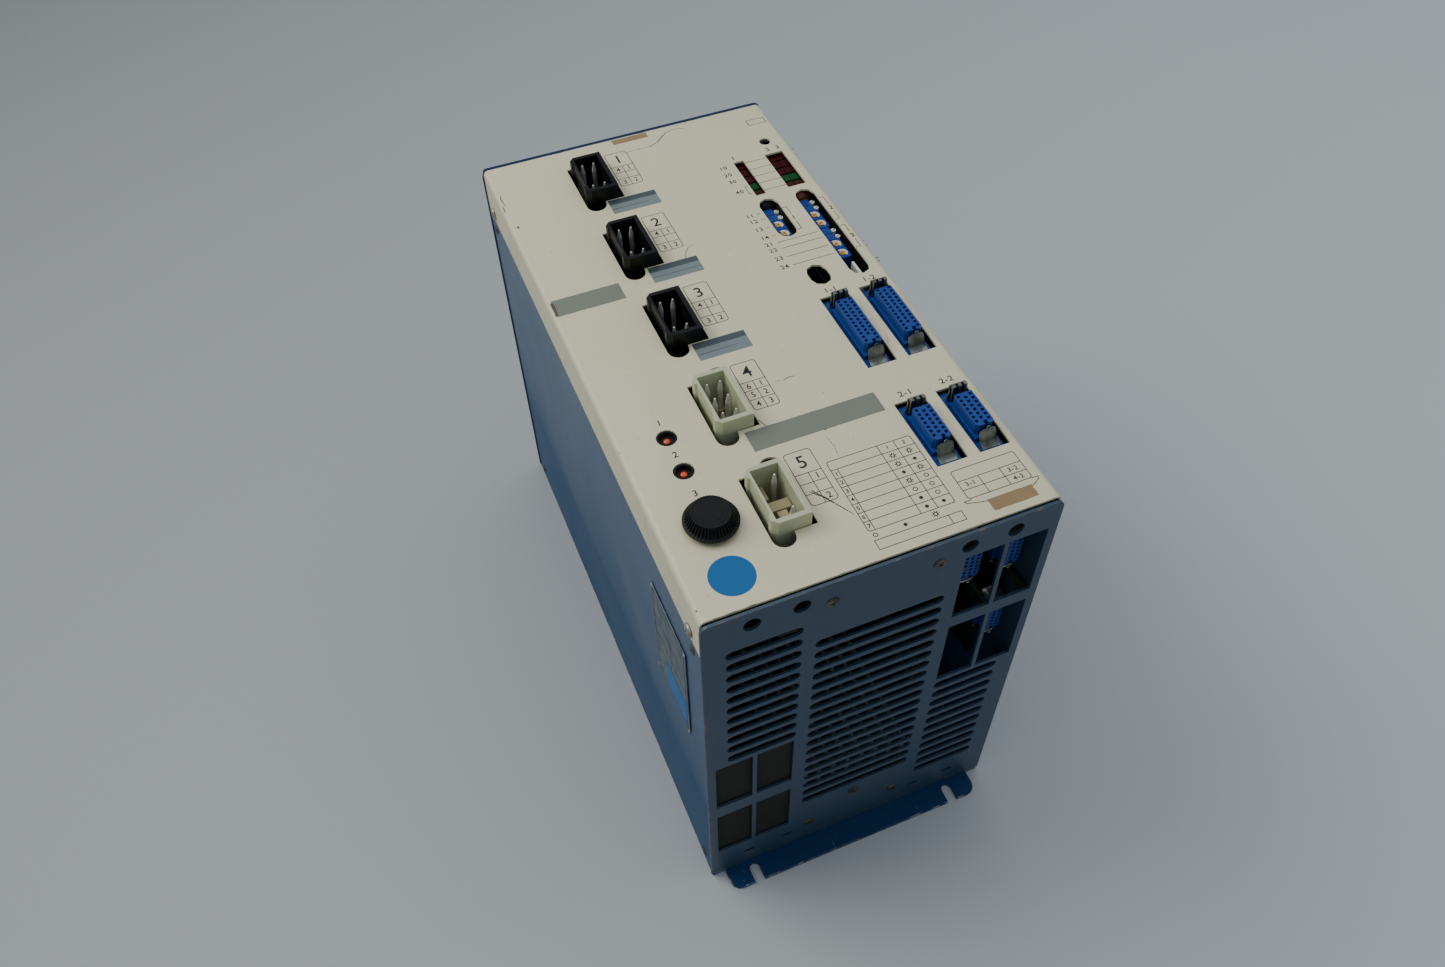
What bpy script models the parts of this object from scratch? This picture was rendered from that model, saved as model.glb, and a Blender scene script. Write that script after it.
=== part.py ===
"""Three-axis servo drive in a tall sheet-metal case, lying on its back.

The wall-mounting face is down at Z = 0 and the front panel faces +Z. X runs across the width.
The lower end of the case, with the connector windows, is at -Y, and the fan end is at +Y.
"""

import math

import bmesh
import bpy
from mathutils import Matrix, Vector

MM = 0.001

# Case, in sheet steel
CASE_WIDTH = 172.5 * MM
CASE_LENGTH = 334.0 * MM
CASE_HEIGHT = 260.0 * MM
REAR_T = 2.0 * MM
SIDE_T = 1.2 * MM
COVER_T = 1.2 * MM
END_T = 1.6 * MM
GAP = 0.3 * MM
REACH = 1.0 * MM
COVER_FLANGE = 27.1 * MM
COVER_BEND_R = 2.6 * MM
SEAM = 0.5 * MM
END_GAP = 0.9 * MM
END_OVERHANG = 0.7 * MM
END_DROP = 1.0 * MM
END_CORNER_R = 4.0 * MM
END_LIP = 18.0 * MM
LIP_DROP = 5.0 * MM
REAR_LIP = 14.0 * MM

# Wall flanges at both ends of the rear plate, with open slots for the wall screws
FLANGE_WIDTH = 157.4 * MM
FLANGE_REACH = 16.0 * MM
FLANGE_CORNER_R = 6.0 * MM
WALL_SLOT_WIDTH = 6.0 * MM
WALL_SLOT_PITCH = 125.0 * MM
WALL_SLOT_SEAT = 8.0 * MM

# Screws that hold the cover to the end plates
COVER_SCREW_R = 1.5 * MM
COVER_SCREW_HEAD_R = 3.5 * MM
COVER_SCREW_HEAD = 1.6 * MM
COVER_SCREW_TIP = 0.4 * MM
COVER_SCREW_INSET = 12.1 * MM
COVER_SCREW_DEPTH = 21.3 * MM

# Power headers: one column of five along the left of the front panel
HEADER_X = 55.9 * MM
HEADER_TOP_MARGIN = 11.1 * MM
HEADER_END_MARGIN = 21.3 * MM
HEADER_WIDTH = 18.4 * MM
HEADER_LENGTH = 33.8 * MM
HEADER_ROOM_X = 2.1 * MM
HEADER_ROOM_Y = 1.1 * MM
HEADER_NOTCH_WIDTH = 11.2 * MM
HEADER_NOTCH = 7.0 * MM
HEADER_WALL = 2.4 * MM
HEADER_CHAMFER = 2.5 * MM
HEADER_RISE = 8.5 * MM
HEADER_CAVITY = 25.0 * MM
HEADER_SHIFT_X = -0.8 * MM
HEADER_SHIFT_Y = -0.7 * MM
PIN_R = 1.2 * MM
PIN_BELOW_RIM = 5.0 * MM
PIN_PITCH_X = 6.7 * MM
PIN_PITCH_Y = 10.1 * MM
ALL_PINS = [(column, row) for column in (-1, 1) for row in (-1, 0, 1)]
MOTOR_PINS = [(column, row) for column in (-1, 1) for row in (-1, 1)]
CONTROL_PINS = [(1, -1), (1, 1)]

# Boards
BOARD_T = 1.6 * MM
POWER_BOARD_DEPTH = 30.0 * MM
POWER_BOARD_LEFT = 36.0 * MM
BOARD_MARGIN = 3.0 * MM
BOARD_TOP_DEPTH = 13.0 * MM
BOARD_HEIGHT = 152.0 * MM
TONGUE_HEIGHT = 6.0 * MM

# Two columns on the right of the front panel, one for each control board
COLUMN_PITCH = 22.1 * MM
BOARD_SIDE_ROOM = 0.6 * MM
LED_WINDOW_LENGTH = 33.4 * MM
LED_WINDOW_WIDTH = 6.2 * MM
LED_WINDOW_WIDE = 11.1 * MM
LED_DEPTH = 5.0 * MM
LED_BLOCK_HEIGHT = 10.0 * MM
POWER_LAMP_R = 3.3 * MM
POWER_LAMP_ABOVE = 12.2 * MM
TRIMMER_SLOT_WIDTH = 11.2 * MM
TRIMMER_SLOT_LENGTH = 78.1 * MM
TRIMMER_SLOT_SHORT = 35.6 * MM
SPARE_HOLE_LENGTH = 16.4 * MM
LONG_CUT_LENGTH = 54.6 * MM
SHORT_CUT_LENGTH = 42.0 * MM
# How the free length of a column is shared out, from the far edge to the near one
GAP_SHARES = (49.6, 4.5, 9.4, 26.4, 35.9)

# Signal connectors
SIGNAL_RISE = 5.7 * MM
SIGNAL_STEP_DEPTH = 3.0 * MM
SIGNAL_BODY_WIDTH = 9.5 * MM
SIGNAL_BASE_WIDTH = 12.6 * MM
SIGNAL_SIDE_ROOM = 1.65 * MM
SIGNAL_BASE_DEPTH = 20.0 * MM
SIGNAL_END_ROOM = 10.2 * MM
SIGNAL_KEY = 1.6 * MM
END_CONNECTOR_INSET = 7.0 * MM
LATCH_T = 0.8 * MM
LATCH_WIDTH = 8.0 * MM
LATCH_FOOT = 7.2 * MM
LATCH_LEDGE = 4.6 * MM
LATCH_LEDGE_RISE = 2.0 * MM
LATCH_TOP = 2.2 * MM
LATCH_RISE = 6.3 * MM

# Trimmer potentiometers, in banks of four: two narrow and two wide
TRIMMER_TOP_DEPTH = 5.0 * MM
TRIMMER_HEIGHT = 12.0 * MM
TRIMMER_SHELF = 5.0 * MM
TRIMMER_HALF_WIDTH = 3.9 * MM
TRIMMER_NARROW_SIDE = 2.5 * MM
TRIMMER_NARROW = 5.5 * MM
TRIMMER_WIDE = 8.0 * MM
TRIMMER_START = 3.4 * MM
TRIMMER_SCREW_X = 4.4 * MM
TRIMMER_SCREW_R = 1.5 * MM
TRIMMER_SCREW_LENGTH = 3.4 * MM
TRIMMER_SLIT = 0.6 * MM
TRIMMER_SOCKET = 1.6 * MM

# Fuses on the left of the front panel, placed from the near edge
FUSE_X = 24.1 * MM
SMALL_FUSE_FROM_END = (100.2 * MM, 78.5 * MM)
SMALL_FUSE_HOLE_R = 5.05 * MM
SMALL_FUSE_BODY_R = 6.8 * MM
SMALL_FUSE_BODY = 24.0 * MM
SMALL_FUSE_RECESS = 1.6 * MM
FUSE_HOLDER_FROM_END = 45.7 * MM
FUSE_HOLDER_R = 7.6 * MM
FUSE_HOLDER_COLLAR_R = 11.0 * MM
FUSE_HOLDER_COLLAR = 1.6 * MM
FUSE_HOLDER_NUT = 3.0 * MM
FUSE_HOLDER_DEPTH = 40.0 * MM
FUSE_HOLDER_FLOOR = 3.0 * MM
FUSE_R = 3.2 * MM
FUSE_LENGTH = 31.8 * MM
FUSE_CAP_R = 12.8 * MM
FUSE_CAP_TOP_R = 9.8 * MM
FUSE_CAP_HEIGHT = 6.6 * MM
FUSE_CAP_EDGE = 0.8 * MM

# End plates
VENT_PITCH = 9.44 * MM
VENT_HEIGHT = 6.2 * MM
VENT_SIDE_LEFT = 10.3 * MM
VENT_SIDE_LENGTH = 37.0 * MM
VENT_MIDDLE_LENGTH = 68.2 * MM
VENT_SIDE_TOP = 29.3 * MM
VENT_MIDDLE_TOP = 45.9 * MM
VENT_MIDDLE_BOTTOM = 50.0 * MM
VENT_RIGHT_BOTTOM = 32.0 * MM
WINDOW_EDGE = 4.0 * MM
WINDOW_BAR = 2.4 * MM
LEFT_WINDOW_WIDTH = 20.0 * MM
LEFT_WINDOW_HEIGHTS = (43.7 * MM, 45.2 * MM)
LEFT_WINDOW_BOTTOM = 29.9 * MM
LEFT_WINDOW_BAR = 11.0 * MM
RIGHT_WINDOW_WIDTH = 42.7 * MM
RIGHT_WINDOW_HEIGHTS = (47.7 * MM, 49.2 * MM)
RIGHT_WINDOW_TOP = 18.8 * MM
RIGHT_WINDOW_BAR = 8.5 * MM
ROUND_HOLE_R = 4.15 * MM
ROUND_HOLE_DEPTH = 10.5 * MM
ROUND_HOLE_INSETS = (22.7 * MM, 45.8 * MM)
LOW_HOLE_HEIGHT = 16.3 * MM
LOW_HOLE_LENGTH = 7.0 * MM
LOW_HOLE_WIDTH = 3.4 * MM
BAFFLE_T = 1.0 * MM
BAFFLE_MARGIN = 2.5 * MM
BAFFLE_SIDE = 0.5 * MM

# Cooling and power parts
FAN_SIZE = 80.0 * MM
FAN_DEPTH = 25.0 * MM
FAN_WALL = 2.5 * MM
FAN_CORNER_R = 5.0 * MM
FAN_ARM_T = 3.0 * MM
FAN_ARM_WIDTH = 5.0 * MM
FAN_HUB_R = 16.0 * MM
FAN_TIP_CLEARANCE = 1.0 * MM
FAN_BLADE_COUNT = 7
FAN_BLADE_T = 1.6 * MM
FAN_BLADE_CHORD = 20.0 * MM
FAN_BLADE_PITCH = math.radians(38.0)
FAN_HOLE_R = 2.2 * MM
FAN_HOLE_INSET = 4.25 * MM
FAN_BLADE_ROOT = 3.0 * MM
FAN_ARM_COUNT = 3
SINK_WIDTH = 72.0 * MM
SINK_HEIGHT = 58.0 * MM
SINK_BASE = 8.0 * MM
SINK_FIN_T = 2.4 * MM
SINK_FIN_COUNT = 9
SINK_END_ROOM = 8.0 * MM
SINK_SIDE_ROOM = 4.25 * MM
CAPACITOR_R = 20.0 * MM
CAPACITOR_HEIGHT = 95.0 * MM
CAPACITOR_SIDE_ROOM = 2.9 * MM
CAPACITOR_SPACING = 110.0 * MM
CAPACITOR_EDGE_R = 2.0 * MM

# Blank nameplate on the left side
NAMEPLATE_T = 0.5 * MM
NAMEPLATE_LENGTH = 44.6 * MM
NAMEPLATE_HEIGHT = 73.4 * MM
NAMEPLATE_FROM_END = 19.2 * MM
NAMEPLATE_BELOW_SEAM = 25.5 * MM

MERGE = 0.01 * MM
ARC_STEPS = 3
SLOT_STEPS = 2
ROUND_SIDES = 16

# Places that several pieces share
HALF_W = CASE_WIDTH / 2
HALF_L = CASE_LENGTH / 2
COVER_INSIDE = CASE_HEIGHT - COVER_T
PLATE_INNER = HALF_L + END_GAP
PLATE_OUTER = PLATE_INNER + END_T
LIP_OUTER = HALF_W - SIDE_T - GAP
SIDE_TOP = CASE_HEIGHT - COVER_FLANGE - SEAM
FLOOR = REAR_T + GAP
POWER_BOARD_TOP = CASE_HEIGHT - POWER_BOARD_DEPTH
BOARD_OFFSET = SIGNAL_BASE_WIDTH / 2 + GAP
COLUMN_2_X = LIP_OUTER - END_T - COVER_SCREW_TIP - BOARD_SIDE_ROOM - BOARD_T - BOARD_OFFSET
COLUMN_1_X = COLUMN_2_X - COLUMN_PITCH
HEADER_CUT_WIDTH = HEADER_WIDTH + 2 * HEADER_ROOM_X
HEADER_CUT_LENGTH = HEADER_LENGTH + 2 * HEADER_ROOM_Y
SIGNAL_CUT_WIDTH = SIGNAL_BASE_WIDTH + 2 * SIGNAL_SIDE_ROOM
BOARD_TOP = CASE_HEIGHT - BOARD_TOP_DEPTH
BOARD_BOTTOM = BOARD_TOP - BOARD_HEIGHT
RIGHT_UPPER_TOP = CASE_HEIGHT - RIGHT_WINDOW_TOP
RIGHT_LOWER_TOP = RIGHT_UPPER_TOP - RIGHT_WINDOW_HEIGHTS[0] - RIGHT_WINDOW_BAR
UPPER_BAY_Z = RIGHT_UPPER_TOP - RIGHT_WINDOW_HEIGHTS[0] / 2
LOWER_BAY_Z = RIGHT_LOWER_TOP - RIGHT_WINDOW_HEIGHTS[1] / 2
LEFT_LOWER_TOP = LEFT_WINDOW_BOTTOM + LEFT_WINDOW_HEIGHTS[1]
LEFT_UPPER_TOP = LEFT_LOWER_TOP + LEFT_WINDOW_BAR + LEFT_WINDOW_HEIGHTS[0]
CAPACITOR_X = -LIP_OUTER + END_T + CAPACITOR_SIDE_ROOM + CAPACITOR_R
SINK_LEFT = CAPACITOR_X + CAPACITOR_R + SINK_SIDE_ROOM
FAN_CENTRE_Z = CASE_HEIGHT / 2
FAN_BORE_R = FAN_SIZE / 2 - FAN_WALL


def column_places():
    """Far edge of the lamp window, trimmer slot and two connector cut-outs of a column."""
    lengths = (LED_WINDOW_LENGTH, TRIMMER_SLOT_LENGTH, LONG_CUT_LENGTH, SHORT_CUT_LENGTH)
    free = CASE_LENGTH - sum(lengths)
    places = []
    y = HALF_L
    for length, share in zip(lengths, GAP_SHARES):
        y -= free * share / sum(GAP_SHARES)
        places.append(y)
        y -= length
    return places


LED_TOP, TRIMMER_TOP, LONG_TOP, SHORT_TOP = column_places()


# Scene and materials

def clear_scene():
    for old in list(bpy.data.objects):
        bpy.data.objects.remove(old, do_unlink=True)


clear_scene()
PARTS = bpy.data.collections.new("servo_drive")
CUTTERS = bpy.data.collections.new("cutters")
bpy.context.scene.collection.children.link(PARTS)
bpy.context.scene.collection.children.link(CUTTERS)
CUTTERS.hide_render = True
ROOT = bpy.data.objects.new("drive_origin", None)
PARTS.objects.link(ROOT)


def make_material(name, colour, roughness, metallic=0.0):
    material = bpy.data.materials.new(name)
    material.use_nodes = True
    shader = material.node_tree.nodes["Principled BSDF"]
    shader.inputs["Base Color"].default_value = (*colour, 1.0)
    shader.inputs["Roughness"].default_value = roughness
    shader.inputs["Metallic"].default_value = metallic
    return material


CREAM_PAINT = make_material("cream_paint", (0.66, 0.62, 0.49), 0.45)
BLUE_PAINT = make_material("blue_paint", (0.05, 0.11, 0.22), 0.4)
ZINC = make_material("zinc_steel", (0.55, 0.54, 0.50), 0.35, 1.0)
TRIMMER_BLUE = make_material("trimmer_blue", (0.02, 0.09, 0.42), 0.35)
CONNECTOR_BLUE = make_material("connector_blue", (0.02, 0.08, 0.38), 0.45)
BLACK_PLASTIC = make_material("black_plastic", (0.01, 0.01, 0.012), 0.5)
NYLON = make_material("natural_nylon", (0.62, 0.62, 0.45), 0.4)
BOARD_GREEN = make_material("board_green", (0.02, 0.10, 0.04), 0.4)
ALUMINIUM = make_material("aluminium", (0.75, 0.76, 0.77), 0.35, 1.0)
BRASS = make_material("brass", (0.75, 0.50, 0.16), 0.3, 1.0)
WHITE_PLASTIC = make_material("white_plastic", (0.8, 0.8, 0.78), 0.4)
GLASS = make_material("fuse_glass", (0.7, 0.78, 0.75), 0.1)


# Outlines, as lists of (u, v) points

def rounded(corners, steps=ARC_STEPS):
    """Closed outline through (u, v, radius) corners, each with its arc."""
    points = []
    for index, (u, v, radius) in enumerate(corners):
        here = Vector((u, v))
        before = Vector(corners[index - 1][:2]) - here
        after = Vector(corners[(index + 1) % len(corners)][:2]) - here
        if radius == 0.0:
            points.append(tuple(here))
            continue
        half = before.angle(after) / 2
        reach = radius / math.tan(half)
        start = here + before.normalized() * reach
        end = here + after.normalized() * reach
        middle = here + (before.normalized() + after.normalized()).normalized() * radius / math.sin(half)
        turn = (start - middle).angle_signed(end - middle)
        for step in range(steps + 1):
            spoke = Matrix.Rotation(-turn * step / steps, 2) @ (start - middle)
            points.append(tuple(middle + spoke))
    return [
        point for index, point in enumerate(points)
        if (Vector(point) - Vector(points[index - 1])).length > MERGE
    ]


def rectangle(u0, u1, v0, v1, radius=0.0):
    return rounded([(u0, v0, radius), (u1, v0, radius), (u1, v1, radius), (u0, v1, radius)])


def obround(u0, u1, v0, v1):
    """A slot with full round ends."""
    r = min(u1 - u0, v1 - v0) / 2
    return rounded([(u0, v0, r), (u1, v0, r), (u1, v1, r), (u0, v1, r)], steps=SLOT_STEPS)


def circle(u, v, radius, sides=ROUND_SIDES):
    angles = [math.tau * (side + 0.5) / sides for side in range(sides)]
    return [(u + radius * math.cos(a), v + radius * math.sin(a)) for a in angles]


# Solids

AXES = {
    "XY": Matrix(((1, 0, 0, 0), (0, 1, 0, 0), (0, 0, 1, 0), (0, 0, 0, 1))),
    "XZ": Matrix(((1, 0, 0, 0), (0, 0, -1, 0), (0, 1, 0, 0), (0, 0, 0, 1))),
    "YZ": Matrix(((0, 0, 1, 0), (1, 0, 0, 0), (0, 1, 0, 0), (0, 0, 0, 1))),
}


def add_object(name, mesh, matrix=None):
    made = bpy.data.objects.new(name, mesh)
    PARTS.objects.link(made)
    made.matrix_world = matrix or Matrix.Identity(4)
    made.parent = ROOT
    return made


def mesh_from(name, shape):
    mesh = bpy.data.meshes.new(name)
    shape.to_mesh(mesh)
    shape.free()
    return mesh


def box(name, low, high):
    """A block between two corners, with its origin at its centre."""
    low, high = Vector(low), Vector(high)
    shape = bmesh.new()
    bmesh.ops.create_cube(shape, size=1.0)
    bmesh.ops.scale(shape, vec=high - low, verts=shape.verts)
    return add_object(name, mesh_from(name, shape), Matrix.Translation((low + high) / 2))


def cylinder(name, radius, length, base, sides=ROUND_SIDES, top_radius=None):
    """A cylinder or cone standing along Z on its base point."""
    shape = bmesh.new()
    bmesh.ops.create_cone(
        shape, cap_ends=True, segments=sides, depth=length,
        radius1=radius, radius2=radius if top_radius is None else top_radius,
        matrix=Matrix.Translation((0, 0, length / 2)),
    )
    return add_object(name, mesh_from(name, shape), Matrix.Translation(base))


def prism(name, outlines, low, high, plane="XY"):
    """Closed outlines, the inner ones being holes, extruded between two heights off their plane."""
    curve = bpy.data.curves.new(name, "CURVE")
    curve.dimensions = "2D"
    curve.fill_mode = "BOTH"
    curve.extrude = (high - low) / 2
    for outline in outlines:
        spline = curve.splines.new("POLY")
        spline.points.add(len(outline) - 1)
        spline.use_cyclic_u = True
        for point, (u, v) in zip(spline.points, outline):
            point.co = (u, v, 0.0, 1.0)
    guide = bpy.data.objects.new(name + "_outline", curve)
    middle = (low + high) / 2
    offset = {"XY": (0, 0, middle), "XZ": (0, middle, 0), "YZ": (middle, 0, 0)}[plane]
    guide.matrix_world = Matrix.Translation(offset) @ AXES[plane]
    bpy.context.scene.collection.objects.link(guide)
    bpy.context.view_layer.update()
    graph = bpy.context.evaluated_depsgraph_get()
    mesh = bpy.data.meshes.new_from_object(guide.evaluated_get(graph))
    mesh.name = name
    shape = bmesh.new()
    shape.from_mesh(mesh)
    bmesh.ops.remove_doubles(shape, verts=shape.verts, dist=MERGE)
    # Slivers between points that lie in a line are turned away, because a cut would lose them
    caps = [face for face in shape.faces if len(face.verts) == 3]
    inner = [edge for edge in shape.edges if all(face in caps for face in edge.link_faces)]
    bmesh.ops.beautify_fill(shape, faces=caps, edges=inner)
    bmesh.ops.recalc_face_normals(shape, faces=shape.faces)
    shape.to_mesh(mesh)
    shape.free()
    made = add_object(name, mesh, guide.matrix_world.copy())
    bpy.data.objects.remove(guide, do_unlink=True)
    return made


def turned(name, profile, base, sides=ROUND_SIDES):
    """A profile of (radius, height) points, turned about Z with a Screw modifier."""
    shape = bmesh.new()
    verts = [shape.verts.new((radius, 0.0, height)) for radius, height in profile]
    for first, second in zip(verts, verts[1:]):
        shape.edges.new((first, second))
    made = add_object(name, mesh_from(name, shape), Matrix.Translation(base))
    screw = made.modifiers.new("turn", "SCREW")
    screw.steps = sides
    screw.render_steps = sides
    screw.use_merge_vertices = True
    screw.merge_threshold = MERGE
    return made


def combine(made, operation, *others):
    """Cuts, joins or trims a piece with helper solids."""
    for other in others:
        step = made.modifiers.new(other.name, "BOOLEAN")
        step.operation = operation
        step.object = other
        other.hide_render = True
        other.display_type = "WIRE"
        PARTS.objects.unlink(other)
        CUTTERS.objects.link(other)
    return made


def finish(made, material, smooth=False):
    made.data.materials.clear()
    made.data.materials.append(material)
    if smooth:
        made.data.shade_smooth()
        made.data.set_sharp_from_angle(angle=math.radians(35.0))
    return made


# Case

def front_cover():
    """Channel folded down at both sides, with every front opening cut through its face."""
    inner_r = COVER_BEND_R - COVER_T
    low = CASE_HEIGHT - COVER_FLANGE
    profile = rounded([
        (-HALF_W, low, 0.0),
        (-HALF_W, CASE_HEIGHT, COVER_BEND_R),
        (HALF_W, CASE_HEIGHT, COVER_BEND_R),
        (HALF_W, low, 0.0),
        (HALF_W - COVER_T, low, 0.0),
        (HALF_W - COVER_T, COVER_INSIDE, inner_r),
        (-HALF_W + COVER_T, COVER_INSIDE, inner_r),
        (-HALF_W + COVER_T, low, 0.0),
    ])
    cover = prism("front_cover", [profile], -HALF_L, HALF_L, "XZ")
    holes = prism(
        "cover_openings", front_openings(), COVER_INSIDE - COVER_T, CASE_HEIGHT + COVER_T)
    combine(cover, "DIFFERENCE", holes, side_screw_holes("cover_side_holes"))
    return finish(cover, CREAM_PAINT, smooth=True)


def front_openings():
    outlines = [header_cut(y) for y in header_places()]
    hole_x = -HALF_W + FUSE_X
    for from_end in SMALL_FUSE_FROM_END:
        outlines.append(circle(hole_x, from_end - HALF_L, SMALL_FUSE_HOLE_R))
    outlines.append(circle(hole_x, FUSE_HOLDER_FROM_END - HALF_L, FUSE_HOLDER_R + GAP))
    outlines.append(circle(COLUMN_2_X, LED_TOP + POWER_LAMP_ABOVE, POWER_LAMP_R))
    for x, width in ((COLUMN_1_X, LED_WINDOW_WIDTH), (COLUMN_2_X, LED_WINDOW_WIDE)):
        outlines.append(rectangle(x - width / 2, x + width / 2, LED_TOP - LED_WINDOW_LENGTH, LED_TOP))
    half = TRIMMER_SLOT_WIDTH / 2
    bottom = TRIMMER_TOP - TRIMMER_SLOT_LENGTH
    short_end = TRIMMER_TOP - TRIMMER_SLOT_SHORT
    outlines.append(obround(COLUMN_1_X - half, COLUMN_1_X + half, short_end, TRIMMER_TOP))
    outlines.append(obround(COLUMN_2_X - half, COLUMN_2_X + half, bottom, TRIMMER_TOP))
    outlines.append(obround(COLUMN_1_X - half, COLUMN_1_X + half, bottom, bottom + SPARE_HOLE_LENGTH))
    half = SIGNAL_CUT_WIDTH / 2
    for x in (COLUMN_1_X, COLUMN_2_X):
        outlines.append(rectangle(x - half, x + half, LONG_TOP - LONG_CUT_LENGTH, LONG_TOP))
        outlines.append(rectangle(x - half, x + half, SHORT_TOP - SHORT_CUT_LENGTH, SHORT_TOP))
    return outlines


def header_places():
    """Centres of the five power headers, evenly spaced between the end margins."""
    half = HEADER_CUT_LENGTH / 2 + HEADER_NOTCH
    first = HALF_L - HEADER_TOP_MARGIN - half
    last = -HALF_L + HEADER_END_MARGIN + half
    return [first + (last - first) * place / 4 for place in range(5)]


def header_cut(y):
    """Oblong opening with a round-ended notch at two opposite corners for the plug's catches."""
    x = -HALF_W + HEADER_X
    left, right = x - HEADER_CUT_WIDTH / 2, x + HEADER_CUT_WIDTH / 2
    near, far = y - HEADER_CUT_LENGTH / 2, y + HEADER_CUT_LENGTH / 2
    end_r = HEADER_NOTCH_WIDTH / 2
    return rounded([
        (left, far, 0.0),
        (left, near - HEADER_NOTCH, end_r),
        (left + HEADER_NOTCH_WIDTH, near - HEADER_NOTCH, end_r),
        (left + HEADER_NOTCH_WIDTH, near, 0.0),
        (right, near, 0.0),
        (right, far + HEADER_NOTCH, end_r),
        (right - HEADER_NOTCH_WIDTH, far + HEADER_NOTCH, end_r),
        (right - HEADER_NOTCH_WIDTH, far, 0.0),
    ], steps=4)


def screw_places():
    y = HALF_L - COVER_SCREW_INSET
    return [(side, end * y) for end in (-1, 1) for side in (-1, 1)]


def side_screw_holes(name):
    """Bars across the whole case that drill the cover screws' holes on both sides at once."""
    outlines = [
        circle(end * (HALF_L - COVER_SCREW_INSET), CASE_HEIGHT - COVER_SCREW_DEPTH, COVER_SCREW_R + GAP)
        for end in (-1, 1)
    ]
    return prism(name, outlines, -CASE_WIDTH, CASE_WIDTH, "YZ")


def cover_screw(name, side, y):
    """Pan-head screw, its head outside the cover's flange."""
    seat = HALF_W + GAP
    length = seat - LIP_OUTER + END_T + COVER_SCREW_TIP
    profile = [
        (0.0, COVER_SCREW_HEAD),
        (COVER_SCREW_HEAD_R * 0.6, COVER_SCREW_HEAD * 0.9),
        (COVER_SCREW_HEAD_R, COVER_SCREW_HEAD * 0.4),
        (COVER_SCREW_HEAD_R, 0.0),
        (COVER_SCREW_R, 0.0),
        (COVER_SCREW_R, -length),
        (0.0, -length),
    ]
    screw = turned(name, profile, (side * seat, y, CASE_HEIGHT - COVER_SCREW_DEPTH), 12)
    screw.rotation_euler = (0.0, side * math.pi / 2, 0.0)
    return finish(screw, ZINC, smooth=True)


def side_panel(name, side):
    """Flat sheet between the rear plate and the cover's flange."""
    inside, outside = side * (HALF_W - SIDE_T), side * HALF_W
    panel = box(
        name,
        (min(inside, outside), -HALF_L, FLOOR),
        (max(inside, outside), HALF_L, SIDE_TOP))
    return finish(panel, BLUE_PAINT)


def rear_plate():
    """Wall plate with a slotted flange past each end plate and a folded lip along each side."""
    flange = FLANGE_WIDTH / 2
    tip = HALF_L + FLANGE_REACH
    outline = rounded([
        (HALF_W, -PLATE_OUTER, 0.0), (HALF_W, PLATE_OUTER, 0.0),
        (flange, PLATE_OUTER, 0.0), (flange, tip, FLANGE_CORNER_R),
        (-flange, tip, FLANGE_CORNER_R), (-flange, PLATE_OUTER, 0.0),
        (-HALF_W, PLATE_OUTER, 0.0), (-HALF_W, -PLATE_OUTER, 0.0),
        (-flange, -PLATE_OUTER, 0.0), (-flange, -tip, FLANGE_CORNER_R),
        (flange, -tip, FLANGE_CORNER_R), (flange, -PLATE_OUTER, 0.0),
    ])
    plate = prism("rear_plate", [outline], 0.0, REAR_T)
    slots = []
    half = WALL_SLOT_WIDTH / 2
    seat = HALF_L + WALL_SLOT_SEAT - half
    for x in (-WALL_SLOT_PITCH / 2, WALL_SLOT_PITCH / 2):
        slots.append(obround(x - half, x + half, seat, tip + WALL_SLOT_WIDTH))
        slots.append(obround(x - half, x + half, -tip - WALL_SLOT_WIDTH, -seat))
    combine(plate, "DIFFERENCE", prism("wall_slots", slots, -REAR_T, 2 * REAR_T))
    reach = PLATE_INNER - END_LIP - BOARD_MARGIN
    for side in (-1, 1):
        outer, inner = side * LIP_OUTER, side * (LIP_OUTER - END_T)
        lip = box(
            f"rear_lip_{side}",
            (min(outer, inner), -reach, REAR_T / 2),
            (max(outer, inner), reach, REAR_LIP))
        combine(plate, "UNION", lip)
    return finish(plate, BLUE_PAINT)


def vent_rows(first, last):
    """Heights of a column of vent slots, from the top down, in the room that there is."""
    count = max(1, int((first - last) / VENT_PITCH) + 1)
    return [first - VENT_PITCH * row for row in range(count)]


def vent_column(u0, u1, first, last):
    half = VENT_HEIGHT / 2
    return [obround(u0, u1, v - half, v + half) for v in vent_rows(first, last)]


def common_holes():
    """Openings at the same places in both end plates."""
    outlines = []
    for inset in ROUND_HOLE_INSETS:
        for u in (-HALF_W + inset, HALF_W - inset):
            outlines.append(circle(u, CASE_HEIGHT - ROUND_HOLE_DEPTH, ROUND_HOLE_R))
            outlines.append(obround(
                u - LOW_HOLE_LENGTH / 2, u + LOW_HOLE_LENGTH / 2,
                LOW_HOLE_HEIGHT - LOW_HOLE_WIDTH / 2, LOW_HOLE_HEIGHT + LOW_HOLE_WIDTH / 2))
    return outlines


def middle_limits():
    left = -HALF_W + VENT_SIDE_LEFT + VENT_SIDE_LENGTH
    right = HALF_W - VENT_SIDE_LEFT - VENT_SIDE_LENGTH
    half = min(VENT_MIDDLE_LENGTH, right - left - 2 * VENT_HEIGHT) / 2
    return -half, half


def left_window_columns():
    u0 = -HALF_W + WINDOW_EDGE
    u1 = u0 + LEFT_WINDOW_WIDTH + WINDOW_BAR
    return [(u0, u0 + LEFT_WINDOW_WIDTH), (u1, u1 + LEFT_WINDOW_WIDTH)]


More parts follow.
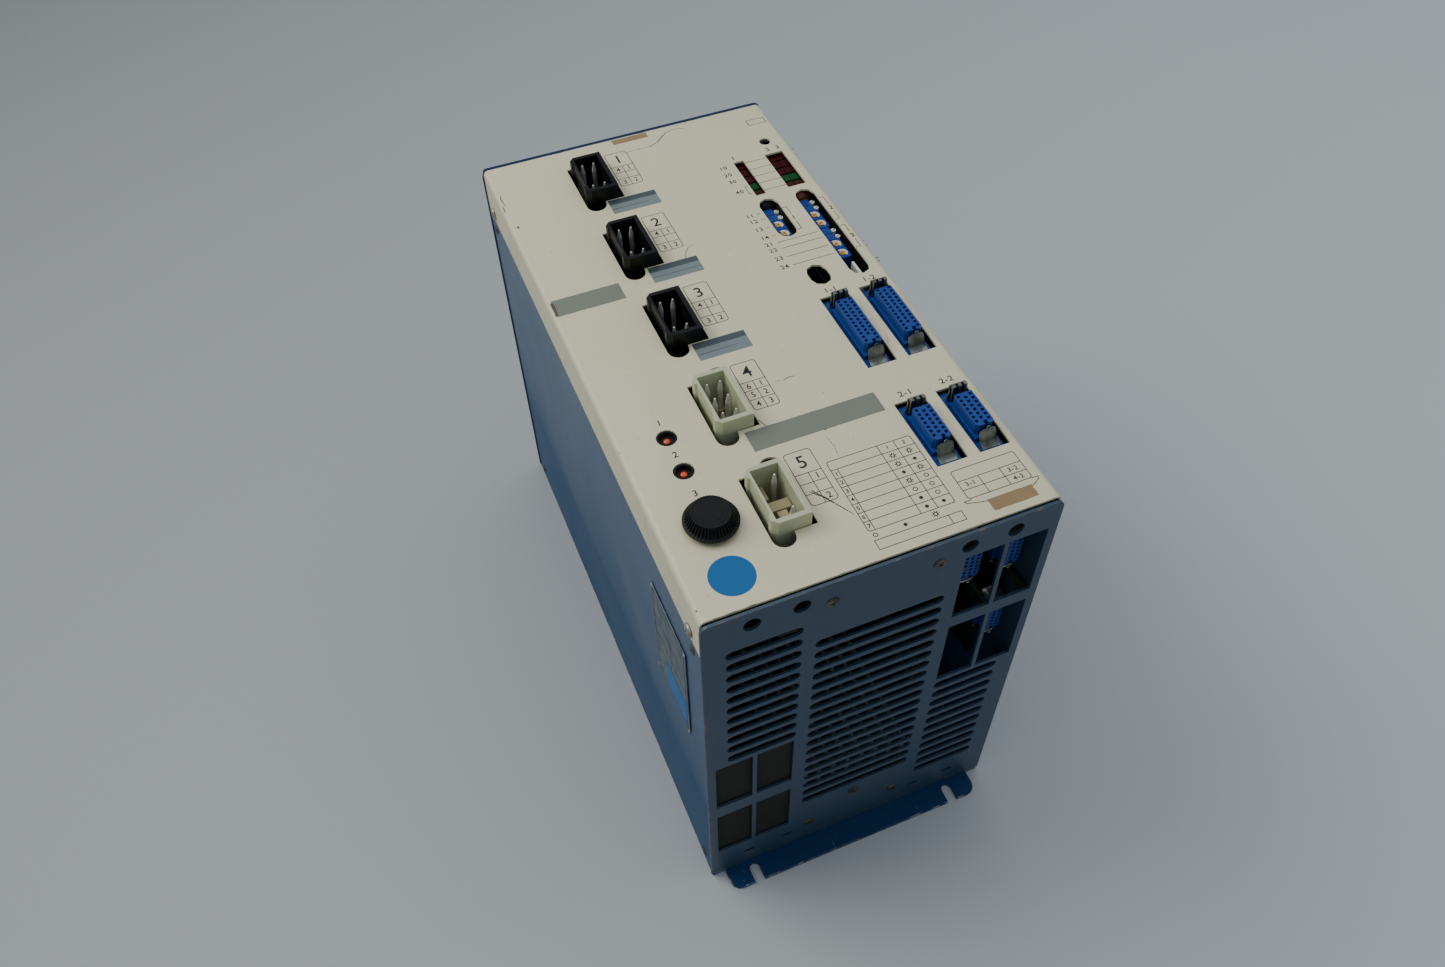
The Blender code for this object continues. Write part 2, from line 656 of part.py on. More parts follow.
def right_window_columns():
    """The two bays stand either side of a bar that lies between the control boards."""
    u1 = HALF_W - WINDOW_EDGE
    u0 = u1 - RIGHT_WINDOW_WIDTH
    middle = (u0 + u1) / 2
    return [(u0, middle - WINDOW_BAR / 2), (middle + WINDOW_BAR / 2, u1)]


def lower_openings():
    top = CASE_HEIGHT - VENT_SIDE_TOP
    left = -HALF_W + VENT_SIDE_LEFT
    right = HALF_W - VENT_SIDE_LEFT
    outlines = common_holes()
    outlines += vent_column(left, left + VENT_SIDE_LENGTH, top, LEFT_UPPER_TOP + VENT_HEIGHT)
    outlines += vent_column(*middle_limits(), CASE_HEIGHT - VENT_MIDDLE_TOP, VENT_MIDDLE_BOTTOM)
    below = RIGHT_LOWER_TOP - RIGHT_WINDOW_HEIGHTS[1] - VENT_HEIGHT
    outlines += vent_column(right - VENT_SIDE_LENGTH, right, below, VENT_RIGHT_BOTTOM)
    for u0, u1 in left_window_columns():
        outlines.append(rectangle(u0, u1, LEFT_WINDOW_BOTTOM, LEFT_LOWER_TOP))
        outlines.append(rectangle(u0, u1, LEFT_LOWER_TOP + LEFT_WINDOW_BAR, LEFT_UPPER_TOP))
    for u0, u1 in right_window_columns():
        outlines.append(rectangle(u0, u1, RIGHT_UPPER_TOP - RIGHT_WINDOW_HEIGHTS[0], RIGHT_UPPER_TOP))
        outlines.append(rectangle(u0, u1, RIGHT_LOWER_TOP - RIGHT_WINDOW_HEIGHTS[1], RIGHT_LOWER_TOP))
    return outlines


def upper_openings():
    """Side vents and, over the fan, slots as long as the fan's round bore allows."""
    top = CASE_HEIGHT - VENT_SIDE_TOP
    outer = HALF_W - VENT_SIDE_LEFT
    clear = max(outer - VENT_SIDE_LENGTH, FAN_SIZE / 2 + VENT_HEIGHT)
    outlines = common_holes()
    outlines += vent_column(-outer, -clear, top, VENT_RIGHT_BOTTOM)
    outlines += vent_column(clear, outer, top, VENT_RIGHT_BOTTOM)
    rows = int(FAN_BORE_R / VENT_PITCH)
    for row in range(-rows, rows + 1):
        v = row * VENT_PITCH
        reach = math.sqrt(FAN_BORE_R ** 2 - v ** 2)
        outlines.append(obround(
            -reach, reach, FAN_CENTRE_Z + v - VENT_HEIGHT / 2, FAN_CENTRE_Z + v + VENT_HEIGHT / 2))
    return outlines


def end_plate(name, end, openings):
    """Vented plate with a folded lip down each side that the cover and side panels screw to."""
    half = HALF_W + END_OVERHANG
    top = CASE_HEIGHT - END_DROP
    outline = rounded([
        (-half, FLOOR, 0.0), (half, FLOOR, 0.0), (half, top, END_CORNER_R), (-half, top, END_CORNER_R)])
    inner, outer = end * PLATE_INNER, end * PLATE_OUTER
    plate = prism(name, [outline, *openings], min(inner, outer), max(inner, outer), "XZ")
    for side in (-1, 1):
        lip_outer, lip_inner = side * LIP_OUTER, side * (LIP_OUTER - END_T)
        root, tip = end * (PLATE_INNER + END_T / 2), end * (PLATE_INNER - END_LIP)
        lip = box(
            f"{name}_lip_{side}",
            (min(lip_outer, lip_inner), min(root, tip), FLOOR + LIP_DROP),
            (max(lip_outer, lip_inner), max(root, tip), CASE_HEIGHT - LIP_DROP))
        combine(plate, "UNION", lip)
    combine(plate, "DIFFERENCE", side_screw_holes(f"{name}_screw_holes"))
    return finish(plate, BLUE_PAINT)


def nameplate():
    top = SIDE_TOP - NAMEPLATE_BELOW_SEAM
    near = -HALF_L + NAMEPLATE_FROM_END
    face = -HALF_W - GAP
    plate = box(
        "nameplate",
        (face - NAMEPLATE_T, near, top - NAMEPLATE_HEIGHT),
        (face, near + NAMEPLATE_LENGTH, top))
    return finish(plate, ALUMINIUM)


def window_baffle():
    """Dark insulating sheet close behind the four left windows of the lower end plate."""
    columns = left_window_columns()
    back = -PLATE_INNER + GAP
    baffle = box(
        "window_baffle",
        (columns[0][0] - BAFFLE_SIDE, back, LEFT_WINDOW_BOTTOM - BAFFLE_MARGIN),
        (columns[1][1] + BAFFLE_MARGIN, back + BAFFLE_T, LEFT_UPPER_TOP + BAFFLE_MARGIN))
    return finish(baffle, BLACK_PLASTIC)


# Boards and their connectors

def power_board():
    left = -HALF_W + POWER_BOARD_LEFT
    right = COLUMN_1_X - SIGNAL_BASE_WIDTH / 2 - BOARD_MARGIN
    reach = PLATE_INNER - GAP
    board = box("power_board", (left, -reach, POWER_BOARD_TOP - BOARD_T), (right, reach, POWER_BOARD_TOP))
    return finish(board, BOARD_GREEN)


def control_board(name, x, led_width):
    """Upright board; a tongue reaches the lower end plate and the lamp block stands on its edge."""
    face = x + BOARD_OFFSET
    tongue = (RIGHT_UPPER_TOP - RIGHT_WINDOW_HEIGHTS[0] + RIGHT_LOWER_TOP) / 2
    near = -HALF_L + END_CONNECTOR_INSET + SIGNAL_RISE + BOARD_TOP_DEPTH
    far = PLATE_INNER - GAP
    outline = [
        (near, BOARD_BOTTOM), (far, BOARD_BOTTOM), (far, BOARD_TOP), (near, BOARD_TOP),
        (near, tongue + TONGUE_HEIGHT / 2), (-far, tongue + TONGUE_HEIGHT / 2),
        (-far, tongue - TONGUE_HEIGHT / 2), (near, tongue - TONGUE_HEIGHT / 2),
    ]
    board = prism(name, [outline], face, face + BOARD_T, "YZ")
    top = CASE_HEIGHT - LED_DEPTH
    lamps = box(
        f"{name}_lamps",
        (x - led_width / 2, LED_TOP - LED_WINDOW_LENGTH, top - LED_BLOCK_HEIGHT),
        (face + BOARD_T / 2, LED_TOP, top))
    combine(board, "UNION", lamps)
    return finish(board, BOARD_GREEN)


def power_header(name, y, pins, material):
    """Open-topped shroud with tall contact pins, standing on the power board."""
    x = -HALF_W + HEADER_X + HEADER_SHIFT_X
    y += HEADER_SHIFT_Y
    half_w, half_l = HEADER_WIDTH / 2, HEADER_LENGTH / 2
    rim = CASE_HEIGHT + HEADER_RISE
    base = POWER_BOARD_TOP + GAP
    chamfer = HEADER_CHAMFER
    outer = [
        (x - half_w, y - half_l + chamfer), (x - half_w + chamfer, y - half_l),
        (x + half_w, y - half_l), (x + half_w, y + half_l),
        (x - half_w + chamfer, y + half_l), (x - half_w, y + half_l - chamfer),
    ]
    header = prism(name, [outer], base, rim)
    cavity = prism(
        f"{name}_cavity",
        [rectangle(
            x - half_w + HEADER_WALL, x + half_w - HEADER_WALL,
            y - half_l + HEADER_WALL, y + half_l - HEADER_WALL)],
        rim - HEADER_CAVITY, rim + HEADER_RISE)
    contacts = prism(
        f"{name}_pins",
        [circle(x + column * PIN_PITCH_X / 2, y - row * PIN_PITCH_Y, PIN_R, 8) for column, row in pins],
        rim - HEADER_CAVITY - PIN_R, rim - PIN_BELOW_RIM)
    combine(header, "DIFFERENCE", cavity)
    combine(header, "UNION", contacts)
    return finish(header, material)


def signal_body(name, cut_length):
    """Stepped connector body in its own frame: mating face up at SIGNAL_RISE, length along Y."""
    base_half = cut_length / 2 - 2 * GAP
    body_half = cut_length / 2 - SIGNAL_END_ROOM
    half = SIGNAL_BODY_WIDTH / 2
    key = SIGNAL_KEY
    outline = [
        (-half, -body_half + key), (-half + key, -body_half), (half - key, -body_half),
        (half, -body_half + key), (half, body_half), (-half, body_half),
    ]
    body = prism(name, [outline], -2 * SIGNAL_STEP_DEPTH, SIGNAL_RISE)
    base = box(
        f"{name}_base",
        (-SIGNAL_BASE_WIDTH / 2, -base_half, -SIGNAL_BASE_DEPTH),
        (SIGNAL_BASE_WIDTH / 2, base_half, -SIGNAL_STEP_DEPTH))
    combine(body, "UNION", base)
    base.parent = body
    base.location -= body.location
    return finish(body, CONNECTOR_BLUE)


def front_connector(name, x, top, cut_length):
    body = signal_body(name, cut_length)
    place = Vector((x, top - cut_length / 2, CASE_HEIGHT))
    body.location += place
    for index, end in enumerate((1, -1), 1):
        latch(f"{name}_latch_{index}", place, end, cut_length)
    return body


def end_connector(name, x, z):
    """The short connector again, facing out of a bay of the lower end plate."""
    body = signal_body(name, SHORT_CUT_LENGTH)
    centre = body.matrix_world.copy()
    place = Matrix.Translation((x, -HALF_L + END_CONNECTOR_INSET + SIGNAL_RISE, z))
    body.matrix_world = place @ Matrix.Rotation(math.pi / 2, 4, "X") @ centre
    return body


def latch(name, place, end, cut_length):
    """Bent spring-steel catch on the connector's base; it turns about its foot, along X."""
    foot = end * (cut_length / 2 - SIGNAL_END_ROOM + LATCH_FOOT)
    body_end = end * (cut_length / 2 - SIGNAL_END_ROOM)
    base = -SIGNAL_STEP_DEPTH + GAP
    ledge, tip = body_end + end * LATCH_LEDGE, body_end + end * LATCH_TOP
    t = end * LATCH_T
    outline = [
        (foot, base), (foot, base + LATCH_T), (ledge, base + LATCH_LEDGE_RISE),
        (tip, LATCH_RISE), (tip - t, LATCH_RISE),
        (ledge - t, base + LATCH_LEDGE_RISE - LATCH_T / 2), (foot - 2 * t, base),
    ]
    outline = [(v - foot, w - base) for v, w in outline]
    made = prism(name, [outline], -LATCH_WIDTH / 2, LATCH_WIDTH / 2, "YZ")
    made.location += place + Vector((0.0, foot, base))
    return finish(made, ZINC)


# Trimmers

def trimmer_bank(name, x, top):
    """Four trimmers side by side on a common foot that meets the control board."""
    face_z = CASE_HEIGHT - TRIMMER_TOP_DEPTH
    narrow_end = top - 2 * TRIMMER_NARROW
    end = narrow_end - 2 * TRIMMER_WIDE
    left = x - TRIMMER_HALF_WIDTH
    shelf = face_z - TRIMMER_SHELF
    bank = box(name, (left, end, face_z - TRIMMER_HEIGHT), (x + BOARD_OFFSET - GAP, top, shelf))
    narrow = box(f"{name}_narrow", (left, narrow_end, shelf - REACH), (x + TRIMMER_NARROW_SIDE, top, face_z))
    wide = box(
        f"{name}_wide", (left, end, shelf - REACH), (x + TRIMMER_HALF_WIDTH, narrow_end + GAP, face_z))
    sockets = prism(
        f"{name}_sockets",
        [circle(x, narrow_end - TRIMMER_WIDE * (turn + 0.5), TRIMMER_SCREW_R + GAP, 12) for turn in (0, 1)],
        face_z - TRIMMER_SOCKET, face_z + REACH)
    combine(bank, "UNION", narrow, wide)
    combine(bank, "DIFFERENCE", sockets)
    for turn in (0, 1):
        y = top - TRIMMER_NARROW * (turn + 0.5)
        trimmer_screw(f"{name}_screw_{turn + 1}", (x + TRIMMER_SCREW_X, y, shelf + GAP), WHITE_PLASTIC)
        y = narrow_end - TRIMMER_WIDE * (turn + 0.5)
        seat = face_z - TRIMMER_SOCKET + GAP
        trimmer_screw(f"{name}_screw_{turn + 3}", (x, y, seat), BRASS, TRIMMER_SOCKET)
    return finish(bank, TRIMMER_BLUE)


def trimmer_screw(name, base, material, length=TRIMMER_SCREW_LENGTH):
    """Slotted adjusting screw with its axis along Z."""
    screw = cylinder(name, TRIMMER_SCREW_R, length, base, 12)
    slit = box(
        f"{name}_slit",
        (base[0] - TRIMMER_SCREW_R * 2, base[1] - TRIMMER_SLIT / 2, base[2] + length - TRIMMER_SLIT),
        (base[0] + TRIMMER_SCREW_R * 2, base[1] + TRIMMER_SLIT / 2, base[2] + length + REACH))
    combine(screw, "DIFFERENCE", slit)
    return finish(screw, material, smooth=True)


# Fuses

def small_fuse(name, from_end):
    """Plug-in fuse with a recessed face, its collar under the panel and its neck in the hole."""
    neck = SMALL_FUSE_HOLE_R - GAP
    shoulder = COVER_INSIDE - GAP
    face = CASE_HEIGHT - SMALL_FUSE_RECESS / 4
    ring = neck * 0.72
    profile = [
        (0.0, face - SMALL_FUSE_RECESS), (ring, face - SMALL_FUSE_RECESS), (ring, face), (neck, face),
        (neck, shoulder), (SMALL_FUSE_BODY_R, shoulder),
        (SMALL_FUSE_BODY_R, shoulder - SMALL_FUSE_BODY), (0.0, shoulder - SMALL_FUSE_BODY),
    ]
    fuse = turned(name, profile, (-HALF_W + FUSE_X, from_end - HALF_L, 0.0))
    return finish(fuse, BLACK_PLASTIC, smooth=True)


def fuse_holder():
    """Barrel through the panel, clamped between its collar and its nut, open at the top."""
    collar = CASE_HEIGHT + GAP + FUSE_HOLDER_COLLAR
    nut = COVER_INSIDE - GAP
    bottom = CASE_HEIGHT - FUSE_HOLDER_DEPTH
    bore = FUSE_R + GAP
    profile = [
        (0.0, bottom + FUSE_HOLDER_FLOOR), (bore, bottom + FUSE_HOLDER_FLOOR),
        (bore, collar), (FUSE_HOLDER_COLLAR_R, collar), (FUSE_HOLDER_COLLAR_R, CASE_HEIGHT + GAP),
        (FUSE_HOLDER_R, CASE_HEIGHT + GAP), (FUSE_HOLDER_R, nut), (FUSE_HOLDER_COLLAR_R, nut),
        (FUSE_HOLDER_COLLAR_R, nut - FUSE_HOLDER_NUT), (FUSE_HOLDER_R, nut - FUSE_HOLDER_NUT),
        (FUSE_HOLDER_R, bottom), (0.0, bottom),
    ]
    holder = turned("fuse_holder", profile, fuse_axis(0.0))
    return finish(holder, BLACK_PLASTIC, smooth=True)


def fuse_axis(z):
    return (-HALF_W + FUSE_X, FUSE_HOLDER_FROM_END - HALF_L, z)


def fuse_cap():
    """Tapered cap that turns to lock; its ribs run down the taper."""
    sides = 24
    base = CASE_HEIGHT + 2 * GAP + FUSE_HOLDER_COLLAR
    cap = cylinder(
        "fuse_cap", FUSE_CAP_R, FUSE_CAP_HEIGHT - FUSE_CAP_EDGE, fuse_axis(base), sides,
        FUSE_CAP_TOP_R + FUSE_CAP_EDGE)
    lid = cylinder(
        "fuse_cap_lid", FUSE_CAP_TOP_R + FUSE_CAP_EDGE / 2, FUSE_CAP_EDGE + REACH,
        fuse_axis(base + FUSE_CAP_HEIGHT - FUSE_CAP_EDGE - REACH), sides, FUSE_CAP_TOP_R)
    combine(cap, "UNION", lid)
    return finish(cap, BLACK_PLASTIC, smooth=True)


def fuse_link():
    """Glass cartridge fuse that comes out with the cap."""
    top = CASE_HEIGHT + GAP + FUSE_HOLDER_COLLAR
    link = cylinder("fuse_link", FUSE_R, FUSE_LENGTH, fuse_axis(top - FUSE_LENGTH), 12)
    return finish(link, GLASS, smooth=True)


# Cooling and power parts

def heat_sink():
    """Finned extrusion on the rear plate, in the fan's air path."""
    sink_right = SINK_LEFT + SINK_WIDTH
    pitch = (SINK_WIDTH - SINK_FIN_T) / (SINK_FIN_COUNT - 1)
    top, web = FLOOR + SINK_HEIGHT, FLOOR + SINK_BASE
    outline = [(SINK_LEFT, FLOOR), (sink_right, FLOOR)]
    for fin in range(SINK_FIN_COUNT):
        right = sink_right - fin * pitch
        left = right - SINK_FIN_T
        outline += [(right, top), (left, top)] if fin == 0 else [(right, web), (right, top), (left, top)]
        if fin < SINK_FIN_COUNT - 1:
            outline.append((left, web))
    sink = prism("heat_sink", [outline], -PLATE_INNER + SINK_END_ROOM, fan_back() - SINK_END_ROOM, "XZ")
    return finish(sink, ALUMINIUM)


def capacitor(name, y):
    """Screw-terminal electrolytic can standing on the rear plate."""
    r, h, edge = CAPACITOR_R, CAPACITOR_HEIGHT, CAPACITOR_EDGE_R
    profile = [(0.0, h - edge), (r - edge, h - edge), (r - edge, h), (r, h - edge), (r, 0.0), (0.0, 0.0)]
    can = turned(name, profile, (CAPACITOR_X, y, FLOOR), 20)
    return finish(can, ALUMINIUM, smooth=True)


def fan_back():
    return PLATE_INNER - GAP - FAN_DEPTH


def fan_frame():
    """Square frame behind the upper end plate; three arms carry the motor's cup."""
    half = FAN_SIZE / 2
    front = PLATE_INNER - GAP
    z = FAN_CENTRE_Z
    outlines = [rectangle(-half, half, z - half, z + half, FAN_CORNER_R), circle(0.0, z, FAN_BORE_R, 24)]
    corner = half - FAN_HOLE_INSET
    outlines += [circle(u, z + v, FAN_HOLE_R, 8) for u in (-corner, corner) for v in (-corner, corner)]
    frame = prism("fan_frame", outlines, fan_back(), front, "XZ")
    cup = prism("fan_cup", [circle(0.0, z, FAN_HUB_R)], front - FAN_ARM_T, front, "XZ")
    combine(frame, "UNION", *fan_arms(front), cup)
    return finish(frame, BLACK_PLASTIC)


def fan_arms(front):
    arms = []
    reach = FAN_BORE_R + REACH
    for index in range(FAN_ARM_COUNT):
        arm = box(
            f"fan_arm_{index}",
            (-FAN_ARM_WIDTH / 2, -FAN_ARM_T / 2, 0.0), (FAN_ARM_WIDTH / 2, FAN_ARM_T / 2, reach))
        place = Matrix.Translation((0.0, front - FAN_ARM_T / 2, FAN_CENTRE_Z))
        arm.matrix_world = place @ Matrix.Rotation(math.tau * index / FAN_ARM_COUNT, 4, "Y") @ arm.matrix_world
        arms.append(arm)
    return arms


def fan_rotor():
    """Hub with pitched blades, turning about Y in front of the motor's cup."""
    front = PLATE_INNER - GAP - FAN_ARM_T - GAP
    depth = FAN_DEPTH - FAN_ARM_T - 2 * GAP
    rotor = prism("fan_rotor", [circle(0.0, 0.0, FAN_HUB_R)], -depth, 0.0, "XZ")
    rotor.location += Vector((0.0, front, FAN_CENTRE_Z))
    outer = FAN_BORE_R - FAN_TIP_CLEARANCE
    for index in range(FAN_BLADE_COUNT):
        blade = box(
            f"fan_blade_{index}",
            (-FAN_BLADE_CHORD / 2, -FAN_BLADE_T / 2, FAN_HUB_R - FAN_BLADE_ROOT),
            (FAN_BLADE_CHORD / 2, FAN_BLADE_T / 2, math.sqrt(outer ** 2 - (FAN_BLADE_CHORD / 2) ** 2)))
        pitch = Matrix.Rotation(FAN_BLADE_PITCH, 4, "Z")
        turn = Matrix.Rotation(math.tau * index / FAN_BLADE_COUNT, 4, "Y")
        place = Matrix.Translation((0.0, front - depth / 2, FAN_CENTRE_Z))
        blade.matrix_world = place @ turn @ pitch @ blade.matrix_world
        combine(rotor, "UNION", blade)
    return finish(rotor, BLACK_PLASTIC)


def build():
    rear_plate()
    side_panel("left_side_panel", -1)
    side_panel("right_side_panel", 1)
    end_plate("lower_end_plate", -1, lower_openings())
    end_plate("upper_end_plate", 1, upper_openings())
    front_cover()
    nameplate()
    window_baffle()
    for index, (side, y) in enumerate(screw_places(), 1):
        cover_screw(f"cover_screw_{index}", side, y)
    power_board()
    control_board("control_board_1", COLUMN_1_X, LED_WINDOW_WIDTH)
    control_board("control_board_2", COLUMN_2_X, LED_WINDOW_WIDE)
    names = ("motor_header_1", "motor_header_2", "motor_header_3", "supply_header", "control_header")
    pins = (MOTOR_PINS, MOTOR_PINS, MOTOR_PINS, ALL_PINS, CONTROL_PINS)
    for name, y, used in zip(names, header_places(), pins):
        power_header(name, y, used, BLACK_PLASTIC if name.startswith("motor") else NYLON)
    for index, x in enumerate((COLUMN_1_X, COLUMN_2_X), 1):
        front_connector(f"long_connector_{index}", x, LONG_TOP, LONG_CUT_LENGTH)
        front_connector(f"short_connector_{index}", x, SHORT_TOP, SHORT_CUT_LENGTH)
    end_connector("bay_connector_1", COLUMN_1_X, UPPER_BAY_Z)
    end_connector("bay_connector_2", COLUMN_2_X, UPPER_BAY_Z)
    end_connector("bay_connector_3", COLUMN_2_X, LOWER_BAY_Z)
    top = TRIMMER_TOP - TRIMMER_START
    bank_length = 2 * TRIMMER_NARROW + 2 * TRIMMER_WIDE
    trimmer_bank("trimmer_bank_a", COLUMN_1_X, top)
    trimmer_bank("trimmer_bank_b", COLUMN_2_X, top)
    trimmer_bank("trimmer_bank_c", COLUMN_2_X, top - bank_length - GAP)
    for index, from_end in enumerate(SMALL_FUSE_FROM_END, 1):
        small_fuse(f"small_fuse_{index}", from_end)
    fuse_holder()
    fuse_cap()
    fuse_link()
    heat_sink()
    capacitor("capacitor_1", -CAPACITOR_SPACING / 2)
    capacitor("capacitor_2", CAPACITOR_SPACING / 2)
    fan_frame()
    fan_rotor()


build()
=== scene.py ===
"""Looks of a three-axis servo drive in a tall sheet-metal case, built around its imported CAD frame."""

import math
import random

import bmesh
import bpy
from mathutils import Matrix, Vector


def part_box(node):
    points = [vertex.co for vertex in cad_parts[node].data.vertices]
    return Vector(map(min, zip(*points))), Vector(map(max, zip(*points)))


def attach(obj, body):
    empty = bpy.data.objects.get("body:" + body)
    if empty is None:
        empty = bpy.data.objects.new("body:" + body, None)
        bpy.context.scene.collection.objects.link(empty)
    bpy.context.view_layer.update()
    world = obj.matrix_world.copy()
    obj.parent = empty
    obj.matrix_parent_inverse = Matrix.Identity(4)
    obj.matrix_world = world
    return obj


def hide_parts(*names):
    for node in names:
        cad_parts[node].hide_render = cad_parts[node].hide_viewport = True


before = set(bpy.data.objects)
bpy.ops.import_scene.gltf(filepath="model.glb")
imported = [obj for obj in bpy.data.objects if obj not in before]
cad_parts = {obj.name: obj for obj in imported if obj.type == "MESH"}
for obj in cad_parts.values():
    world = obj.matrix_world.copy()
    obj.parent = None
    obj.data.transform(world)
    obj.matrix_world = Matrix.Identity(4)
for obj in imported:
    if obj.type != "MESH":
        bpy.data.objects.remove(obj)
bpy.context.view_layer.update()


# ---- Blue sheet-metal case -------------------------------------------------------------------
# Folded mild steel sheet, sprayed in semi-gloss slate blue. The rear plate carries the wall
# flanges; side panels and vented end plates are screwed to its lips. Paint is worn at the edges.

MM = 0.001


def node(tree, kind, inputs=None, **settings):
    """Adds one shader node; an input takes a plain value or another node's output."""
    made = tree.nodes.new(kind)
    for key, value in settings.items():
        setattr(made, key, value)
    for socket, value in (inputs or {}).items():
        if isinstance(value, bpy.types.NodeSocket):
            tree.links.new(value, made.inputs[socket])
        else:
            made.inputs[socket].default_value = value
    return made


def math_node(tree, operation, first, second=0.0, clamp=False):
    made = node(tree, "ShaderNodeMath", {0: first, 1: second}, operation=operation, use_clamp=clamp)
    return made.outputs[0]


def blend_colour(tree, share, first, second, kind="MIX"):
    mix = node(tree, "ShaderNodeMix", data_type="RGBA", blend_type=kind)
    for index, value in ((0, share), (6, first), (7, second)):
        if isinstance(value, bpy.types.NodeSocket):
            tree.links.new(value, mix.inputs[index])
        else:
            mix.inputs[index].default_value = value if index == 0 else (*value, 1.0)
    return mix.outputs[2]


def shader_group(name, inputs, outputs):
    group = bpy.data.node_groups.new(name, "ShaderNodeTree")
    for label, kind, value in inputs:
        socket = group.interface.new_socket(label, in_out="INPUT", socket_type=kind)
        socket.default_value = value
    for label in outputs:
        group.interface.new_socket(label, in_out="OUTPUT", socket_type="NodeSocketFloat")
    return group, node(group, "NodeGroupInput").outputs, node(group, "NodeGroupOutput").inputs


def build_grain_group():
    """Fine grain, broad cloudy change and small specks, all on Object coordinates."""
    group, given, result = shader_group(
        "surface_grain",
        [("Fine Scale", "NodeSocketFloat", 900.0), ("Broad Scale", "NodeSocketFloat", 14.0),
         ("Speck Scale", "NodeSocketFloat", 260.0)],
        ["Fine", "Broad", "Specks"])
    place = node(group, "ShaderNodeTexCoord").outputs["Object"]
    fine = node(group, "ShaderNodeTexNoise", {"Vector": place, "Scale": given[0], "Detail": 3.0})
    broad = node(group, "ShaderNodeTexNoise", {"Vector": place, "Scale": given[1], "Detail": 5.0})
    specks = node(group, "ShaderNodeTexNoise", {"Vector": place, "Scale": given[2], "Detail": 4.0})
    sharp = node(group, "ShaderNodeMapRange", {0: specks.outputs[0], 1: 0.66, 2: 0.74})
    group.links.new(fine.outputs[0], result[0])
    group.links.new(broad.outputs[0], result[1])
    group.links.new(sharp.outputs[0], result[2])
    return group


def build_streak_group():
    """Hair-thin scuffs in two directions, broken up so that most of the surface stays clean."""
    group, given, result = shader_group(
        "fine_scratches", [("Scale", "NodeSocketFloat", 60.0), ("Amount", "NodeSocketFloat", 0.5)], ["Mask"])
    place = node(group, "ShaderNodeTexCoord").outputs["Object"]
    sums = None
    for turn, stretch in ((0.5, 0.04), (-0.9, 0.05), (1.9, 0.03)):
        turned = node(
            group, "ShaderNodeMapping",
            {"Vector": place, "Rotation": (0.0, 0.0, turn), "Scale": (1.0, stretch, stretch)})
        fine_scale = math_node(group, "MULTIPLY", given[0], 9.0)
        lines = node(
            group, "ShaderNodeTexNoise",
            {"Vector": turned.outputs[0], "Scale": fine_scale, "Detail": 1.0})
        thin = node(group, "ShaderNodeMapRange", {0: lines.outputs[0], 1: 0.735, 2: 0.76})
        sums = thin.outputs[0] if sums is None else math_node(group, "MAXIMUM", sums, thin.outputs[0])
    patches = node(group, "ShaderNodeTexNoise", {"Vector": place, "Scale": given[0], "Detail": 2.0})
    allowed = node(group, "ShaderNodeMapRange", {0: patches.outputs[0], 1: 0.5, 2: 0.62})
    masked = math_node(group, "MULTIPLY", sums, allowed.outputs[0])
    group.links.new(math_node(group, "MULTIPLY", masked, given[1]), result[0])
    return group


def build_edge_group():
    """Chips along the edges of a box: where two of the three distances to its faces are small."""
    group, given, result = shader_group(
        "edge_wear",
        [("Centre", "NodeSocketVector", (0.0, 0.0, 0.0)), ("Half Size", "NodeSocketVector", (1.0, 1.0, 1.0)),
         ("Reach", "NodeSocketFloat", 0.002), ("Chip Scale", "NodeSocketFloat", 160.0)],
        ["Chips", "Rub"])
    place = node(group, "ShaderNodeTexCoord").outputs["Object"]
    moved = node(group, "ShaderNodeVectorMath", {0: place, 1: given[0]}, operation="SUBTRACT").outputs[0]
    size = node(group, "ShaderNodeVectorMath", {0: moved}, operation="ABSOLUTE").outputs[0]
    inside = node(group, "ShaderNodeVectorMath", {0: given[1], 1: size}, operation="SUBTRACT").outputs[0]
    axes = node(group, "ShaderNodeSeparateXYZ", {0: inside}).outputs
    pairs = [math_node(group, "MAXIMUM", axes[a], axes[b]) for a, b in ((0, 1), (1, 2), (0, 2))]
    edge = math_node(group, "MINIMUM", math_node(group, "MINIMUM", pairs[0], pairs[1]), pairs[2])
    near = math_node(group, "DIVIDE", edge, given[2])
    rough = node(group, "ShaderNodeTexNoise", {"Vector": place, "Scale": given[3], "Detail": 5.0})
    level = math_node(group, "SUBTRACT", math_node(group, "MULTIPLY", rough.outputs[0], 2.6), near)
    chips = node(group, "ShaderNodeMapRange", {0: level, 1: 1.32, 2: 1.42})
    rub = node(group, "ShaderNodeMapRange", {0: level, 1: 0.7, 2: 1.4})
    group.links.new(chips.outputs[0], result[0])
    group.links.new(rub.outputs[0], result[1])
    return group


GRAIN = build_grain_group()
STREAKS = build_streak_group()
EDGES = build_edge_group()


def new_material(name, **values):
    """A material whose Principled shader takes its even values straight on its own sockets."""
    material = bpy.data.materials.new(name)
    material.use_nodes = True
    tree = material.node_tree
    shader = tree.nodes["Principled BSDF"]
    for label, value in values.items():
        shader.inputs[label.replace("_", " ")].default_value = value
    return material, tree, shader


def placed_group(tree, group, **values):
    made = node(tree, "ShaderNodeGroup", node_tree=group)
    for label, value in values.items():
        made.inputs[label.replace("_", " ")].default_value = value
    return made.outputs


def bump(tree, shader, height, strength, distance):
    made = node(tree, "ShaderNodeBump", {"Height": height, "Strength": strength, "Distance": distance})
    tree.links.new(made.outputs[0], shader.inputs["Normal"])


